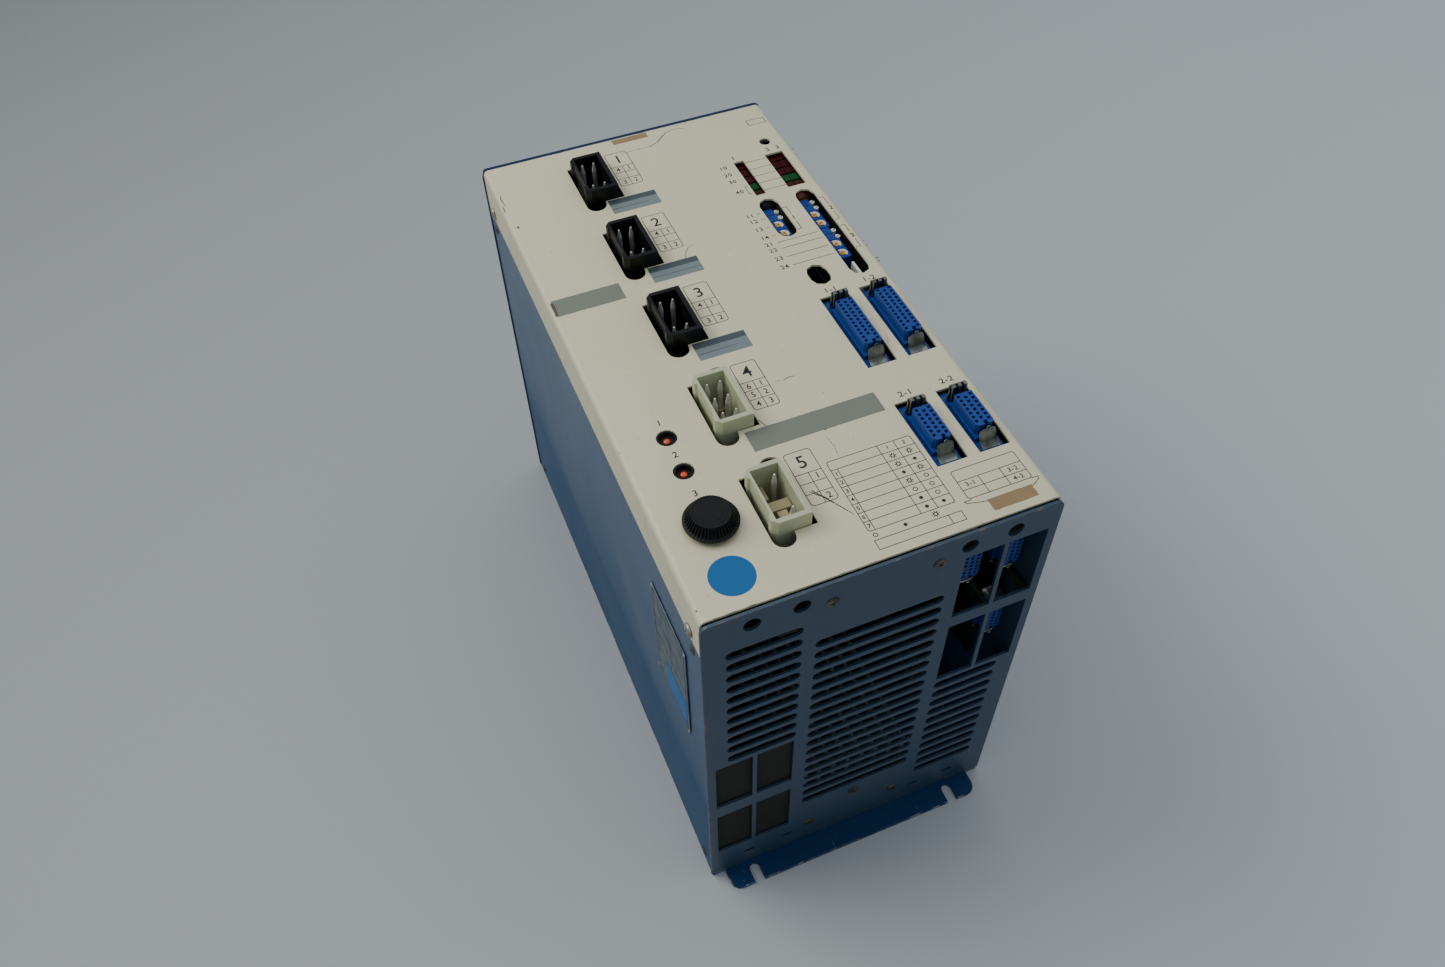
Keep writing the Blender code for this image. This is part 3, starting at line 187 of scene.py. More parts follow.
def painted_sheet(name, colour, dark, bare, centre, half, roughness, reach, scratch, shine=0.5):
    """Sprayed paint: faint orange peel, cloudy tone, scuffs, and bare metal where the edges chip."""
    material, tree, shader = new_material(name, Specular_IOR_Level=shine)
    grain = placed_group(tree, GRAIN, Fine_Scale=700.0, Broad_Scale=11.0, Speck_Scale=330.0)
    scuffs = placed_group(tree, STREAKS, Scale=55.0, Amount=scratch)
    wear = placed_group(tree, EDGES, Centre=centre, Half_Size=half, Reach=reach, Chip_Scale=170.0)
    tone = blend_colour(tree, grain["Broad"], dark, colour)
    tone = blend_colour(tree, math_node(tree, "MULTIPLY", grain["Specks"], 0.18), tone, bare)
    tone = blend_colour(tree, math_node(tree, "MULTIPLY", scuffs["Mask"], 0.5), tone, bare)
    tone = blend_colour(tree, math_node(tree, "MULTIPLY", wear["Rub"], 0.22), tone, bare)
    tone = blend_colour(tree, wear["Chips"], tone, bare)
    tree.links.new(tone, shader.inputs["Base Color"])
    gloss = math_node(tree, "ADD", math_node(tree, "MULTIPLY", grain["Broad"], 0.22), roughness - 0.11)
    gloss = math_node(tree, "ADD", gloss, math_node(tree, "MULTIPLY", scuffs["Mask"], 0.2), clamp=True)
    tree.links.new(gloss, shader.inputs["Roughness"])
    height = math_node(tree, "SUBTRACT", grain["Fine"], math_node(tree, "MULTIPLY", wear["Chips"], 1.4))
    bump(tree, shader, height, 0.22, 0.00006)
    return material


def softened(name, width):
    """A copy of a CAD node with its loose triangles merged and its edges slightly rounded."""
    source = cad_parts[name]
    shape = bmesh.new()
    shape.from_mesh(source.data)
    bmesh.ops.remove_doubles(shape, verts=shape.verts, dist=2e-6)
    bmesh.ops.dissolve_limit(
        shape, angle_limit=math.radians(0.6), verts=shape.verts, edges=shape.edges, delimit={"NORMAL"})
    return add_piece(name + "_shell", shape, width, [name])


def add_piece(name, shape, edge=0.0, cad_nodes=(), body="case", smooth_to=35.0, segments=2):
    """Turns a bmesh into a shown piece that rides on a body and stands for its CAD nodes."""
    mesh = bpy.data.meshes.new(name)
    shape.to_mesh(mesh)
    shape.free()
    made = bpy.data.objects.new(name, mesh)
    bpy.context.scene.collection.objects.link(made)
    mesh.shade_smooth()
    mesh.set_sharp_from_angle(angle=math.radians(smooth_to))
    if edge:
        rounding = made.modifiers.new("edges", "BEVEL")
        rounding.width = edge
        rounding.segments = segments
        rounding.limit_method = "ANGLE"
        rounding.angle_limit = math.radians(smooth_to)
        rounding.harden_normals = True
    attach(made, body)
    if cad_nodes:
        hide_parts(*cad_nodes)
    return made


def dress(piece, material):
    piece.data.materials.clear()
    piece.data.materials.append(material)
    return piece


end_low, end_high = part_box("lower_end_plate")
cover_low, cover_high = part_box("front_cover")
HALF_W, HALF_L, TOP = cover_high.x, cover_high.y, cover_high.z

BLUE = (0.022, 0.074, 0.158)
BLUE_DARK = (0.017, 0.061, 0.136)
BARE_EDGE = (0.20, 0.17, 0.14)
case_blue = painted_sheet(
    "slate_blue_paint", BLUE, BLUE_DARK, BARE_EDGE,
    (0.0, 0.0, TOP / 2), (HALF_W, HALF_L, TOP / 2), 0.34, 0.0011, 0.5, 0.10)
end_blue = painted_sheet(
    "end_plate_paint", (0.034, 0.070, 0.112), (0.026, 0.056, 0.094), (0.17, 0.125, 0.085),
    (0.0, 0.0, (end_low.z + end_high.z) / 2), (end_high.x, -end_low.y, (end_high.z - end_low.z) / 2),
    0.42, 0.0016, 0.9)
# Painted sheen: the blue's specular level rises with height, glossy towards the cover and dull towards the
# rear plate.
case_tree = case_blue.node_tree
case_place = node(case_tree, "ShaderNodeTexCoord").outputs["Object"]
case_height = node(case_tree, "ShaderNodeSeparateXYZ", {0: case_place}).outputs[2]
case_painted_sheen = node(
    case_tree, "ShaderNodeMapRange", {0: case_height, 1: 80.0 * MM, 2: TOP - 30.0 * MM, 3: 0.02, 4: 0.46})
case_tree.links.new(case_painted_sheen.outputs[0], case_tree.nodes["Principled BSDF"].inputs["Specular IOR Level"])
flange_low, flange_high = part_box("rear_plate")
flange_blue = painted_sheet(
    "wall_flange_paint", (0.010, 0.046, 0.128), (0.008, 0.036, 0.104), (0.34, 0.33, 0.31),
    (0.0, 0.0, MM), (78.7 * MM, flange_high.y, MM), 0.38, 0.0013, 1.0, 0.12)
for panel in ("left_side_panel", "right_side_panel"):
    dress(softened(panel, 0.25 * MM), case_blue)
dress(softened("rear_plate", 0.3 * MM), flange_blue)
for plate in ("lower_end_plate", "upper_end_plate"):
    dress(softened(plate, 0.22 * MM), end_blue)


def block(shape, low, high):
    """A box between two corners, inside a bmesh."""
    low, high = Vector(low), Vector(high)
    place = Matrix.Translation((low + high) / 2) @ Matrix.Diagonal((*(high - low), 1.0))
    bmesh.ops.create_cube(shape, size=1.0, matrix=place)


# ---- Cream front cover -----------------------------------------------------------------------
# One channel of 1.2 mm steel sheet, punched, folded down at both sides and powder coated cream.
# It carries the printing and has collected scuffs, grey smears and chips along its edges.

CREAM = (0.735, 0.690, 0.462)
CREAM_DARK = (0.700, 0.650, 0.422)
cream_paint = painted_sheet(
    "cream_powder_coat", CREAM, CREAM_DARK, (0.16, 0.13, 0.10),
    (0.0, 0.0, TOP - 0.1), (HALF_W, HALF_L, 0.1), 0.42, 0.0008, 0.22)
cover = dress(softened("front_cover", 0.2 * MM), cream_paint)
# Painted shade: the cover's inner faces, seen through the slots, take a near-black second material.
inside_painted_shade, inside_tree, inside_shader = new_material("cover_painted_shade", Roughness=0.8)
inside_grain = placed_group(inside_tree, GRAIN, Fine_Scale=700.0, Broad_Scale=30.0, Speck_Scale=330.0)
inside_tree.links.new(
    blend_colour(inside_tree, inside_grain["Broad"], (0.010, 0.011, 0.012), (0.018, 0.019, 0.020)),
    inside_shader.inputs["Base Color"])
cover.data.materials.append(inside_painted_shade)
for polygon in cover.data.polygons:
    spot = polygon.center
    if spot.z < TOP - 0.9 * MM and abs(spot.x) < HALF_W - 0.9 * MM and abs(spot.y) < HALF_L - 0.5 * MM:
        polygon.material_index = 1
# Painted shade: the far lip takes a darker copy of the slate blue, so that its lit top reads dark.
lip_shaded_blue = painted_sheet(
    "far_lip_painted_shade", (0.010, 0.028, 0.075), (0.007, 0.021, 0.060), (0.10, 0.085, 0.07),
    (0.0, HALF_L, TOP), (HALF_W, 0.004, 0.001), 0.45, 0.0009, 0.6, 0.2)
lip = bmesh.new()
block(lip, (-HALF_W, HALF_L - 0.2 * MM, TOP - 8.0 * MM), (HALF_W, HALF_L + 3.5 * MM, TOP - 0.5 * MM))
corners = [edge for edge in lip.edges if abs(edge.verts[0].co.z - edge.verts[1].co.z) > MM
           and edge.verts[0].co.y > HALF_L + MM]
bmesh.ops.bevel(
    lip, geom=corners, offset=2.6 * MM, segments=5, affect="EDGES", profile=0.5, material=-1)
dress(add_piece("far_end_lip", lip, 0.4 * MM), lip_shaded_blue)


# ---- Cover screws ----------------------------------------------------------------------------
# Zinc-plated steel pan heads with a cross recess. Four hold the cover's flanges to the end
# plates; smaller countersunk ones fix the side panels and the lower end plate to the frame.

def rod(shape, radius, low, high, centre=(0.0, 0.0), sides=24, top=None):
    """An upright cylinder or cone between two heights, inside a bmesh."""
    place = Matrix.Translation((*centre, (low + high) / 2))
    bmesh.ops.create_cone(
        shape, cap_ends=True, segments=sides, radius1=radius, radius2=radius if top is None else top,
        depth=high - low, matrix=place)


def carved(shape, cutter, operation="DIFFERENCE"):
    """One bmesh cut by another, or joined with it."""
    blanks = []
    for part in (shape, cutter):
        mesh = bpy.data.meshes.new("blank")
        part.to_mesh(mesh)
        part.free()
        blanks.append(bpy.data.objects.new("blank", mesh))
        bpy.context.scene.collection.objects.link(blanks[-1])
    step = blanks[0].modifiers.new("cut", "BOOLEAN")
    step.object = blanks[1]
    step.operation = operation
    step.solver = "EXACT"
    bpy.context.view_layer.update()
    result = bmesh.new()
    result.from_object(blanks[0], bpy.context.evaluated_depsgraph_get())
    for blank in blanks:
        bpy.data.meshes.remove(blank.data)
    return result


def plated_metal(name, colour, dull, roughness, shine=1.0):
    """Plated or bare metal with cloudy tarnish and fine scuffs."""
    material, tree, shader = new_material(name)
    grain = placed_group(tree, GRAIN, Fine_Scale=2600.0, Broad_Scale=180.0, Speck_Scale=900.0)
    scuffs = placed_group(tree, STREAKS, Scale=300.0, Amount=0.8)
    tarnish = node(tree, "ShaderNodeMapRange", {0: grain["Broad"], 1: 0.42, 2: 0.66}).outputs[0]
    tone = blend_colour(tree, tarnish, colour, dull)
    tone = blend_colour(tree, math_node(tree, "MULTIPLY", grain["Specks"], 0.5), tone, dull)
    tree.links.new(tone, shader.inputs["Base Color"])
    shine = math_node(tree, "SUBTRACT", shine, math_node(tree, "MULTIPLY", tarnish, 0.25))
    tree.links.new(shine, shader.inputs["Metallic"])
    rough = math_node(tree, "ADD", math_node(tree, "MULTIPLY", tarnish, 0.22), roughness)
    tree.links.new(rough, shader.inputs["Roughness"])
    bump(tree, shader, math_node(tree, "ADD", grain["Fine"], scuffs["Mask"]), 0.25, 0.00004)
    return material


zinc = plated_metal("zinc_plating", (0.60, 0.58, 0.52), (0.30, 0.27, 0.21), 0.30)
worn_screw = plated_metal("worn_screw_steel", (0.16, 0.145, 0.12), (0.07, 0.058, 0.048), 0.42)


def screw_head(radius, height, recess_turn=0.4):
    """A low domed head standing on Z = 0 with a cross recess, as a bmesh."""
    head = bmesh.new()
    rod(head, radius, 0.0, height * 0.35, sides=32)
    top = max(head.faces, key=lambda face: face.calc_center_median().z)
    for share, rise in ((0.93, 0.25), (0.78, 0.22), (0.55, 0.13), (0.25, 0.05)):
        bmesh.ops.inset_region(head, faces=[top], thickness=radius * 0.001)
        scale = share * radius / max(vert.co.xy.length for vert in top.verts)
        bmesh.ops.scale(head, vec=(scale, scale, 1.0), verts=top.verts)
        bmesh.ops.translate(head, vec=(0.0, 0.0, height * rise), verts=top.verts)
    for turn in (recess_turn, recess_turn + math.pi / 2):
        bar = bmesh.new()
        block(bar, (-radius * 0.56, -radius * 0.11, height * 0.3), (radius * 0.56, radius * 0.11, height * 2))
        bmesh.ops.rotate(bar, cent=(0, 0, 0), matrix=Matrix.Rotation(turn, 3, "Z"), verts=bar.verts)
        head = carved(head, bar)
    return head


def turned_to(shape, place, outward):
    """Stands a shape, modelled along Z, on a place so that Z points outward."""
    turn = Vector(outward).to_track_quat("Z", "Y").to_matrix().to_4x4()
    bmesh.ops.transform(shape, matrix=Matrix.Translation(place) @ turn, verts=shape.verts)
    return shape


for number in (1, 2, 3, 4):
    low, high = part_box(f"cover_screw_{number}")
    side = 1 if low.x > 0 else -1
    seat = HALF_W + 0.3 * MM
    head = screw_head(3.5 * MM, 1.55 * MM, 0.3 + number)
    rod(head, 1.5 * MM, -4.0 * MM, 0.1 * MM, sides=16)
    turned_to(head, (side * seat, (low.y + high.y) / 2, (low.z + high.z) / 2), (side, 0, 0))
    dress(add_piece(
        f"cover_screw_{number}_head", head, 0.08 * MM, [f"cover_screw_{number}"]), zinc)

for side, panel in ((-1, "left"), (1, "right")):
    for number, (y, z) in enumerate(((-157.0, 225.6), (157.0, 225.6), (-157.0, 8.2), (157.0, 8.2)), 1):
        head = screw_head(2.6 * MM, 0.9 * MM, number)
        turned_to(head, (side * (HALF_W - 0.1 * MM), y * MM, z * MM), (side, 0, 0))
        dress(add_piece(f"{panel}_panel_screw_{number}", head, 0.0), worn_screw)

for number, (x, z, turn) in enumerate((
        (60.2, TOP / MM - 15.5, 0.2), (112.3, TOP / MM - 15.5, 0.7), (86.1, 40.9, 1.1),
        (59.5, 22.4, 0.5), (112.7, 23.4, 0.9)), 1):
    head = screw_head(3.1 * MM, 0.8 * MM, turn)
    rod(head, 3.5 * MM, -0.1 * MM, 0.12 * MM, sides=32)
    turned_to(head, (-HALF_W + x * MM, end_low.y, z * MM), (0, -1, 0))
    dress(add_piece(f"end_plate_screw_{number}", head, 0.0), worn_screw)


# ---- Power headers ---------------------------------------------------------------------------
# Moulded shrouds on the power board: three in black for the motors, and two in natural nylon
# for the supplies. Each has chamfered key corners on its left and tall tinned pins inside.

def moulded_plastic(name, colour, dark, roughness, speck=0.25, fine=1500.0, dust=(0.45, 0.44, 0.40), **even):
    """Moulded plastic: satin grain, slightly uneven colour, and dust caught in the grain."""
    material, tree, shader = new_material(name, **even)
    grain = placed_group(tree, GRAIN, Fine_Scale=fine, Broad_Scale=60.0, Speck_Scale=700.0)
    scuffs = placed_group(tree, STREAKS, Scale=120.0, Amount=0.5)
    tone = blend_colour(tree, grain["Broad"], dark, colour)
    marks = math_node(tree, "MULTIPLY", math_node(tree, "MAXIMUM", grain["Specks"], scuffs["Mask"]), speck)
    tone = blend_colour(tree, marks, tone, dust)
    tree.links.new(tone, shader.inputs["Base Color"])
    rough = math_node(tree, "ADD", math_node(tree, "MULTIPLY", grain["Broad"], 0.25), roughness - 0.12)
    tree.links.new(rough, shader.inputs["Roughness"])
    bump(tree, shader, grain["Fine"], 0.3, 0.00005)
    return material


black_moulding = moulded_plastic(
    "black_moulding", (0.008, 0.008, 0.009), (0.004, 0.004, 0.005), 0.40, 0.08, dust=(0.09, 0.09, 0.085),
    Specular_IOR_Level=0.22)
nylon = moulded_plastic(
    "natural_nylon", (0.58, 0.60, 0.38), (0.45, 0.49, 0.32), 0.42, 0.14, dust=(0.32, 0.25, 0.12),
    Subsurface_Weight=0.35, Subsurface_Radius=(0.9, 1.0, 0.7), Subsurface_Scale=0.0025)
aged_nylon = moulded_plastic(
    "aged_nylon", (0.46, 0.40, 0.20), (0.33, 0.28, 0.15), 0.45, 0.3, dust=(0.12, 0.09, 0.06))
tinned_pin = plated_metal("tinned_pin", (0.85, 0.84, 0.80), (0.55, 0.53, 0.48), 0.30, 0.62)


def upright(shape, outline, low, high):
    """A flat outline raised between two heights, inside a bmesh."""
    base = shape.faces.new([shape.verts.new((x, y, low)) for x, y in outline])
    base.normal_update()
    if base.normal.z > 0:
        base.normal_flip()
    raised = bmesh.ops.extrude_face_region(shape, geom=[base], use_keep_orig=True)
    lifted = [item for item in raised["geom"] if isinstance(item, bmesh.types.BMVert)]
    bmesh.ops.translate(shape, vec=(0.0, 0.0, high - low), verts=lifted)
    bmesh.ops.recalc_face_normals(shape, faces=shape.faces)


SOCKET_DEPTH = 25.0 * MM
PIN_COLUMN = 3.35 * MM


def header_shroud(low, high):
    """Shroud with thick chamfered corners, a thinner key wall on the left and a band at the rim."""
    wall, key, chamfer, corner = 2.4 * MM, 1.2 * MM, 2.6 * MM, 5.2 * MM
    body = bmesh.new()
    inset = 0.5 * MM
    upright(body, [
        (low.x + inset, low.y + chamfer), (low.x + chamfer, low.y + inset),
        (high.x - inset, low.y + inset), (high.x - inset, high.y - inset),
        (low.x + chamfer, high.y - inset), (low.x + inset, high.y - chamfer),
        (low.x + inset, high.y - corner), (low.x + key + inset, high.y - corner - key),
        (low.x + key + inset, low.y + corner + key), (low.x + inset, low.y + corner),
    ], low.z, high.z)
    band = bmesh.new()
    upright(band, [
        (low.x, low.y + chamfer), (low.x + chamfer, low.y), (high.x, low.y), (high.x, high.y),
        (low.x + chamfer, high.y), (low.x, high.y - chamfer), (low.x, high.y - corner),
        (low.x + key, high.y - corner - key), (low.x + key, low.y + corner + key), (low.x, low.y + corner),
    ], high.z - 9.0 * MM, high.z)
    body = carved(body, band, "UNION")
    hollow = bmesh.new()
    block(
        hollow, (low.x + wall, low.y + wall, high.z - SOCKET_DEPTH),
        (high.x - wall, high.y - wall, high.z + 5.0 * MM))
    return carved(body, hollow)


def power_pins(low, high, places):
    """Stout tinned pins with long tapered tips, standing on the shroud's floor."""
    pins = bmesh.new()
    centre = (low + high) / 2
    floor, tip = high.z - SOCKET_DEPTH, high.z - 1.8 * MM
    for column, row in places:
        spot = (centre.x + column * PIN_COLUMN, centre.y - row * 9.8 * MM + 0.3 * MM)
        rod(pins, 1.35 * MM, floor - 0.5 * MM, tip - 4.6 * MM, spot, 24)
        rod(pins, 1.35 * MM, tip - 4.6 * MM, tip, spot, 24, 0.45 * MM)
    return pins


FOUR_PINS = [(column, row) for column in (-1, 1) for row in (-1, 1)]
SIX_PINS = [(column, row) for column in (-1, 1) for row in (-1, 0, 1)]
headers = {
    "motor_header_1": FOUR_PINS, "motor_header_2": FOUR_PINS, "motor_header_3": FOUR_PINS,
    "supply_header": SIX_PINS, "control_header": [(1, -1), (1, 1)],
}
for name, places in headers.items():
    low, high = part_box(name)
    black = name.startswith("motor")
    shroud = add_piece(f"{name}_shroud", header_shroud(low, high), 0.3 * MM, [name], segments=3)
    dress(shroud, black_moulding if black else nylon)
    dress(add_piece(f"{name}_pins", power_pins(low, high, places), 0.1 * MM), tinned_pin)
    floor = high.z - SOCKET_DEPTH
    middle = (low + high) / 2
    keys = bmesh.new()
    if name == "control_header":
        for x0, x1, y0, y1, rise in (
                (-6.4, -1.0, 5.5, 14.2, 13.0), (-6.4, 6.4, -3.2, 2.2, 15.0),
                (-6.4, -1.6, -14.2, -6.0, 11.0), (-2.2, 2.4, -11.5, -5.2, 17.0)):
            block(keys, (middle.x + x0 * MM, middle.y + y0 * MM, floor - 0.2 * MM),
                  (middle.x + x1 * MM, middle.y + y1 * MM, floor + rise * MM))
    else:
        for x, y in SIX_PINS:
            rod(keys, 2.6 * MM, floor - 0.2 * MM, floor + 5.5 * MM,
                (middle.x + x * PIN_COLUMN, middle.y - y * 10.1 * MM), 20)
    dress(
        add_piece(f"{name}_sleeves", keys, 0.3 * MM),
        black_moulding if black else aged_nylon)


# ---- Signal connectors -----------------------------------------------------------------------
# Blue glass-filled polyester bodies with three staggered columns of contacts, on a wider base.
# Four face the front; three more sit in the lower bays. Each has a sprung steel latch per end.

connector_blue = moulded_plastic(
    "connector_blue", (0.010, 0.058, 0.280), (0.007, 0.042, 0.225), 0.42, 0.14, dust=(0.12, 0.20, 0.36),
    Specular_IOR_Level=0.35)
latch_steel = plated_metal("latch_steel", (0.23, 0.25, 0.225), (0.10, 0.11, 0.095), 0.33)
contact_metal = plated_metal("contact_metal", (0.10, 0.09, 0.07), (0.04, 0.035, 0.03), 0.45)

ROW_PITCH, COLUMN_STEP = 2.77 * MM, 3.13 * MM
LATCH_ROOM = 10.2 * MM


def contact_places(rows):
    """Places of the contacts: two full columns and a shorter one between them, half a pitch off."""
    middle_count = rows - 1 - (rows > 8)
    places = []
    for column, count, shift in ((-1, rows, 0.0), (0, middle_count, -0.5), (1, rows, 0.0)):
        for row in range(count):
            y = (rows - 1) * ROW_PITCH / 2 - (row - shift) * ROW_PITCH + 0.6 * MM
            places.append((column * COLUMN_STEP, y))
    return places


def signal_connector(cut, rows, based=True):
    """Body on its base, mating face up and panel surface at Z = 0, with its contact holes cut."""
    body_half, base_half = cut / 2 - LATCH_ROOM, cut / 2 - 0.6 * MM
    key = 1.6 * MM
    body = bmesh.new()
    upright(body, [
        (-4.75 * MM, -body_half + key), (-3.2 * MM, -body_half), (-0.3 * MM, -body_half),
        (-0.3 * MM, -body_half + 2.4 * MM), (1.7 * MM, -body_half + 2.4 * MM), (1.7 * MM, -body_half),
        (3.2 * MM, -body_half), (4.75 * MM, -body_half + key),
        (4.75 * MM, body_half), (-4.0 * MM, body_half), (-4.75 * MM, body_half - 0.8 * MM),
    ], -5.0 * MM, 5.7 * MM)
    step = bmesh.new()
    block(step, (-5.5 * MM, -body_half - 1.6 * MM, -4.0 * MM), (5.5 * MM, body_half + 1.2 * MM, -0.6 * MM))
    body = carved(body, step, "UNION")
    if based:
        base = bmesh.new()
        block(base, (-6.3 * MM, -base_half, -20.0 * MM), (6.3 * MM, base_half, -3.0 * MM))
        body = carved(body, base, "UNION")
    holes = bmesh.new()
    half = 0.78 * MM
    for x, y in contact_places(rows):
        block(holes, (x - half, y - half, 1.2 * MM), (x + half, y + half, 9.0 * MM))
    return carved(body, holes)


def connector_contacts(rows):
    """Dark bronze contact tips low in every hole."""
    tips = bmesh.new()
    half = 0.74 * MM
    for x, y in contact_places(rows):
        block(tips, (x - half, y - half, 1.0 * MM), (x + half, y + half, 1.5 * MM))
    return tips


# Each row of a latch plate, foot to tip: how far out it lies, how high, and its half width, in mm.
NEAR_LATCH_ROWS = (
    (7.6, -2.7, 4.5), (6.9, -2.5, 4.55), (5.8, -1.9, 4.6), (5.1, -1.2, 4.6), (4.8, -0.6, 4.6),
    (4.2, 1.0, 4.55), (3.6, 2.7, 4.4), (3.1, 4.0, 4.1), (2.7, 4.8, 3.5), (2.5, 5.2, 2.4))
FAR_LATCH_ROWS = (
    (5.6, -2.7, 4.4), (5.4, -2.5, 4.5), (5.2, -1.9, 4.55), (5.0, -1.2, 4.6), (4.9, -0.6, 4.6),
    (4.9, 1.6, 4.6), (4.9, 3.8, 4.5), (4.9, 5.6, 4.4), (4.8, 6.8, 4.2), (4.7, 7.4, 3.9))


def latch_plate(body_half, end):
    """Pressed steel latch: a plate with folded sides, and a ring on the near one or three prongs."""
    rows = NEAR_LATCH_ROWS if end < 0 else FAR_LATCH_ROWS
    plate = bmesh.new()
    columns = 7
    bmesh.ops.create_grid(plate, x_segments=columns, y_segments=len(rows) - 1, size=0.5)
    for vert in plate.verts:
        place = round((vert.co.y + 0.5) * (len(rows) - 1))
        across = vert.co.x * 2
        out, rise, half = rows[place]
        fold = 1.1 if abs(across) > 0.99 and 3 <= place <= 7 else 0.0
        vert.co = (across * half * MM, end * (body_half + (out - fold) * MM), (rise - fold * 0.3) * MM)
    bmesh.ops.recalc_face_normals(plate, faces=plate.faces)
    bmesh.ops.solidify(plate, geom=plate.faces[:], thickness=0.55 * MM)
    for x in (-3.0, 0.0, 3.0) if end > 0 else ():
        upright(plate, [
            ((x - 0.85) * MM, body_half + 2.2 * MM), ((x + 0.85) * MM, body_half + 2.2 * MM),
            ((x + 0.85) * MM, body_half + 4.4 * MM), ((x - 0.85) * MM, body_half + 4.4 * MM)],
            -1.0 * MM, 8.2 * MM)
    if end > 0:
        return plate
    ring = bmesh.new()
    lie = Matrix.Translation((0.85 * MM, 0.0, 0.0)) @ Matrix.Rotation(math.pi / 2, 4, "X")
    bmesh.ops.create_circle(ring, segments=8, radius=0.3 * MM, matrix=lie)
    bmesh.ops.spin(
        ring, geom=ring.verts[:] + ring.edges[:], cent=(0, 0, 0), axis=(0, 0, 1), angle=math.tau,
        steps=16, use_merge=True, use_duplicate=False)
    bmesh.ops.rotate(
        ring, cent=(0, 0, 0), matrix=Matrix.Rotation(math.pi / 2 + end * 0.35, 3, "X"), verts=ring.verts)
    bmesh.ops.translate(ring, vec=(0, end * (body_half + 2.4 * MM), 5.5 * MM), verts=ring.verts)
    bmesh.ops.recalc_face_normals(ring, faces=ring.faces)
    return append_shape(plate, ring)


def moved(shape, matrix):
    bmesh.ops.transform(shape, matrix=matrix, verts=shape.verts)
    return shape


def append_shape(shape, addition):
    """Adds one finished bmesh to another and frees it."""
    mesh = bpy.data.meshes.new("addition")
    addition.to_mesh(mesh)
    addition.free()
    shape.from_mesh(mesh)
    bpy.data.meshes.remove(mesh)
    return shape


LONG_CUT, SHORT_CUT = 54.6 * MM, 42.0 * MM
FRONT = [
    ("long_connector_1", LONG_CUT, 12), ("long_connector_2", LONG_CUT, 12),
    ("short_connector_1", SHORT_CUT, 7), ("short_connector_2", SHORT_CUT, 7)]
for name, cut, rows in FRONT:
    low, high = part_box(name)
    place = Matrix.Translation(((low.x + high.x) / 2, (low.y + high.y) / 2, TOP))
    body = add_piece(f"{name}_body", moved(signal_connector(cut, rows), place), 0.15 * MM, [name])
    dress(body, connector_blue)
    dress(add_piece(f"{name}_contacts", moved(connector_contacts(rows), place)), contact_metal)
    for number, end in ((1, 1), (2, -1)):
        plate = moved(latch_plate(cut / 2 - LATCH_ROOM, end), place)
        latch = f"{name}_latch_{number}"
        dress(add_piece(f"{latch}_plate", plate, 0.0, [latch], body=latch, smooth_to=50.0),
              latch_steel)
for number in (1, 2, 3):
    low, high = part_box(f"bay_connector_{number}")
    place = Matrix.Translation(((low.x + high.x) / 2, low.y + 5.7 * MM, (low.z + high.z) / 2))
    place = place @ Matrix.Rotation(math.pi / 2, 4, "X")
    body = add_piece(
        f"bay_connector_{number}_body", moved(signal_connector(SHORT_CUT, 7, False), place), 0.15 * MM,
        [f"bay_connector_{number}"])
    dress(body, connector_blue)
    dress(add_piece(f"bay_connector_{number}_contacts", moved(connector_contacts(7), place)),
          contact_metal)
    for end in (1, -1):
        plate = moved(latch_plate(SHORT_CUT / 2 - LATCH_ROOM, end), place)
        dress(add_piece(f"bay_connector_{number}_latch_{'upper' if end > 0 else 'lower'}", plate,
                        smooth_to=50.0), zinc)


# ---- Trimmer potentiometers ------------------------------------------------------------------
# Banks of four on the control boards' edges: two slim multi-turn ones with a white adjuster that
# stands beside the body, and two wide ones with a brass adjuster and a cream position ring.

trimmer_blue = moulded_plastic(
    "trimmer_blue", (0.010, 0.060, 0.300), (0.007, 0.045, 0.245), 0.36, 0.10, dust=(0.16, 0.24, 0.42),
    Specular_IOR_Level=0.35)
white_nylon = moulded_plastic("white_nylon", (0.90, 0.90, 0.86), (0.82, 0.82, 0.78), 0.4, 0.1)
cream_ring = moulded_plastic("cream_ring", (0.78, 0.72, 0.55), (0.70, 0.62, 0.44), 0.45, 0.15)
brass = plated_metal("turned_brass", (0.95, 0.56, 0.13), (0.72, 0.38, 0.08), 0.30, 0.8)

NARROW, WIDE = 5.5 * MM, 8.0 * MM


def adjuster(radius, low, high, centre, slot):
    """A turned adjusting screw with a slot across its top."""
    screw = bmesh.new()
    rod(screw, radius, low, high, centre, 28)
    cut = bmesh.new()
    block(cut, (-radius * 1.5, -slot / 2, high - 0.8 * MM), (radius * 1.5, slot / 2, high + 1.0 * MM))
    bmesh.ops.rotate(cut, cent=(0, 0, 0), matrix=Matrix.Rotation(0.5, 3, "Z"), verts=cut.verts)
    bmesh.ops.translate(cut, vec=(*centre, 0.0), verts=cut.verts)
    return carved(screw, cut)


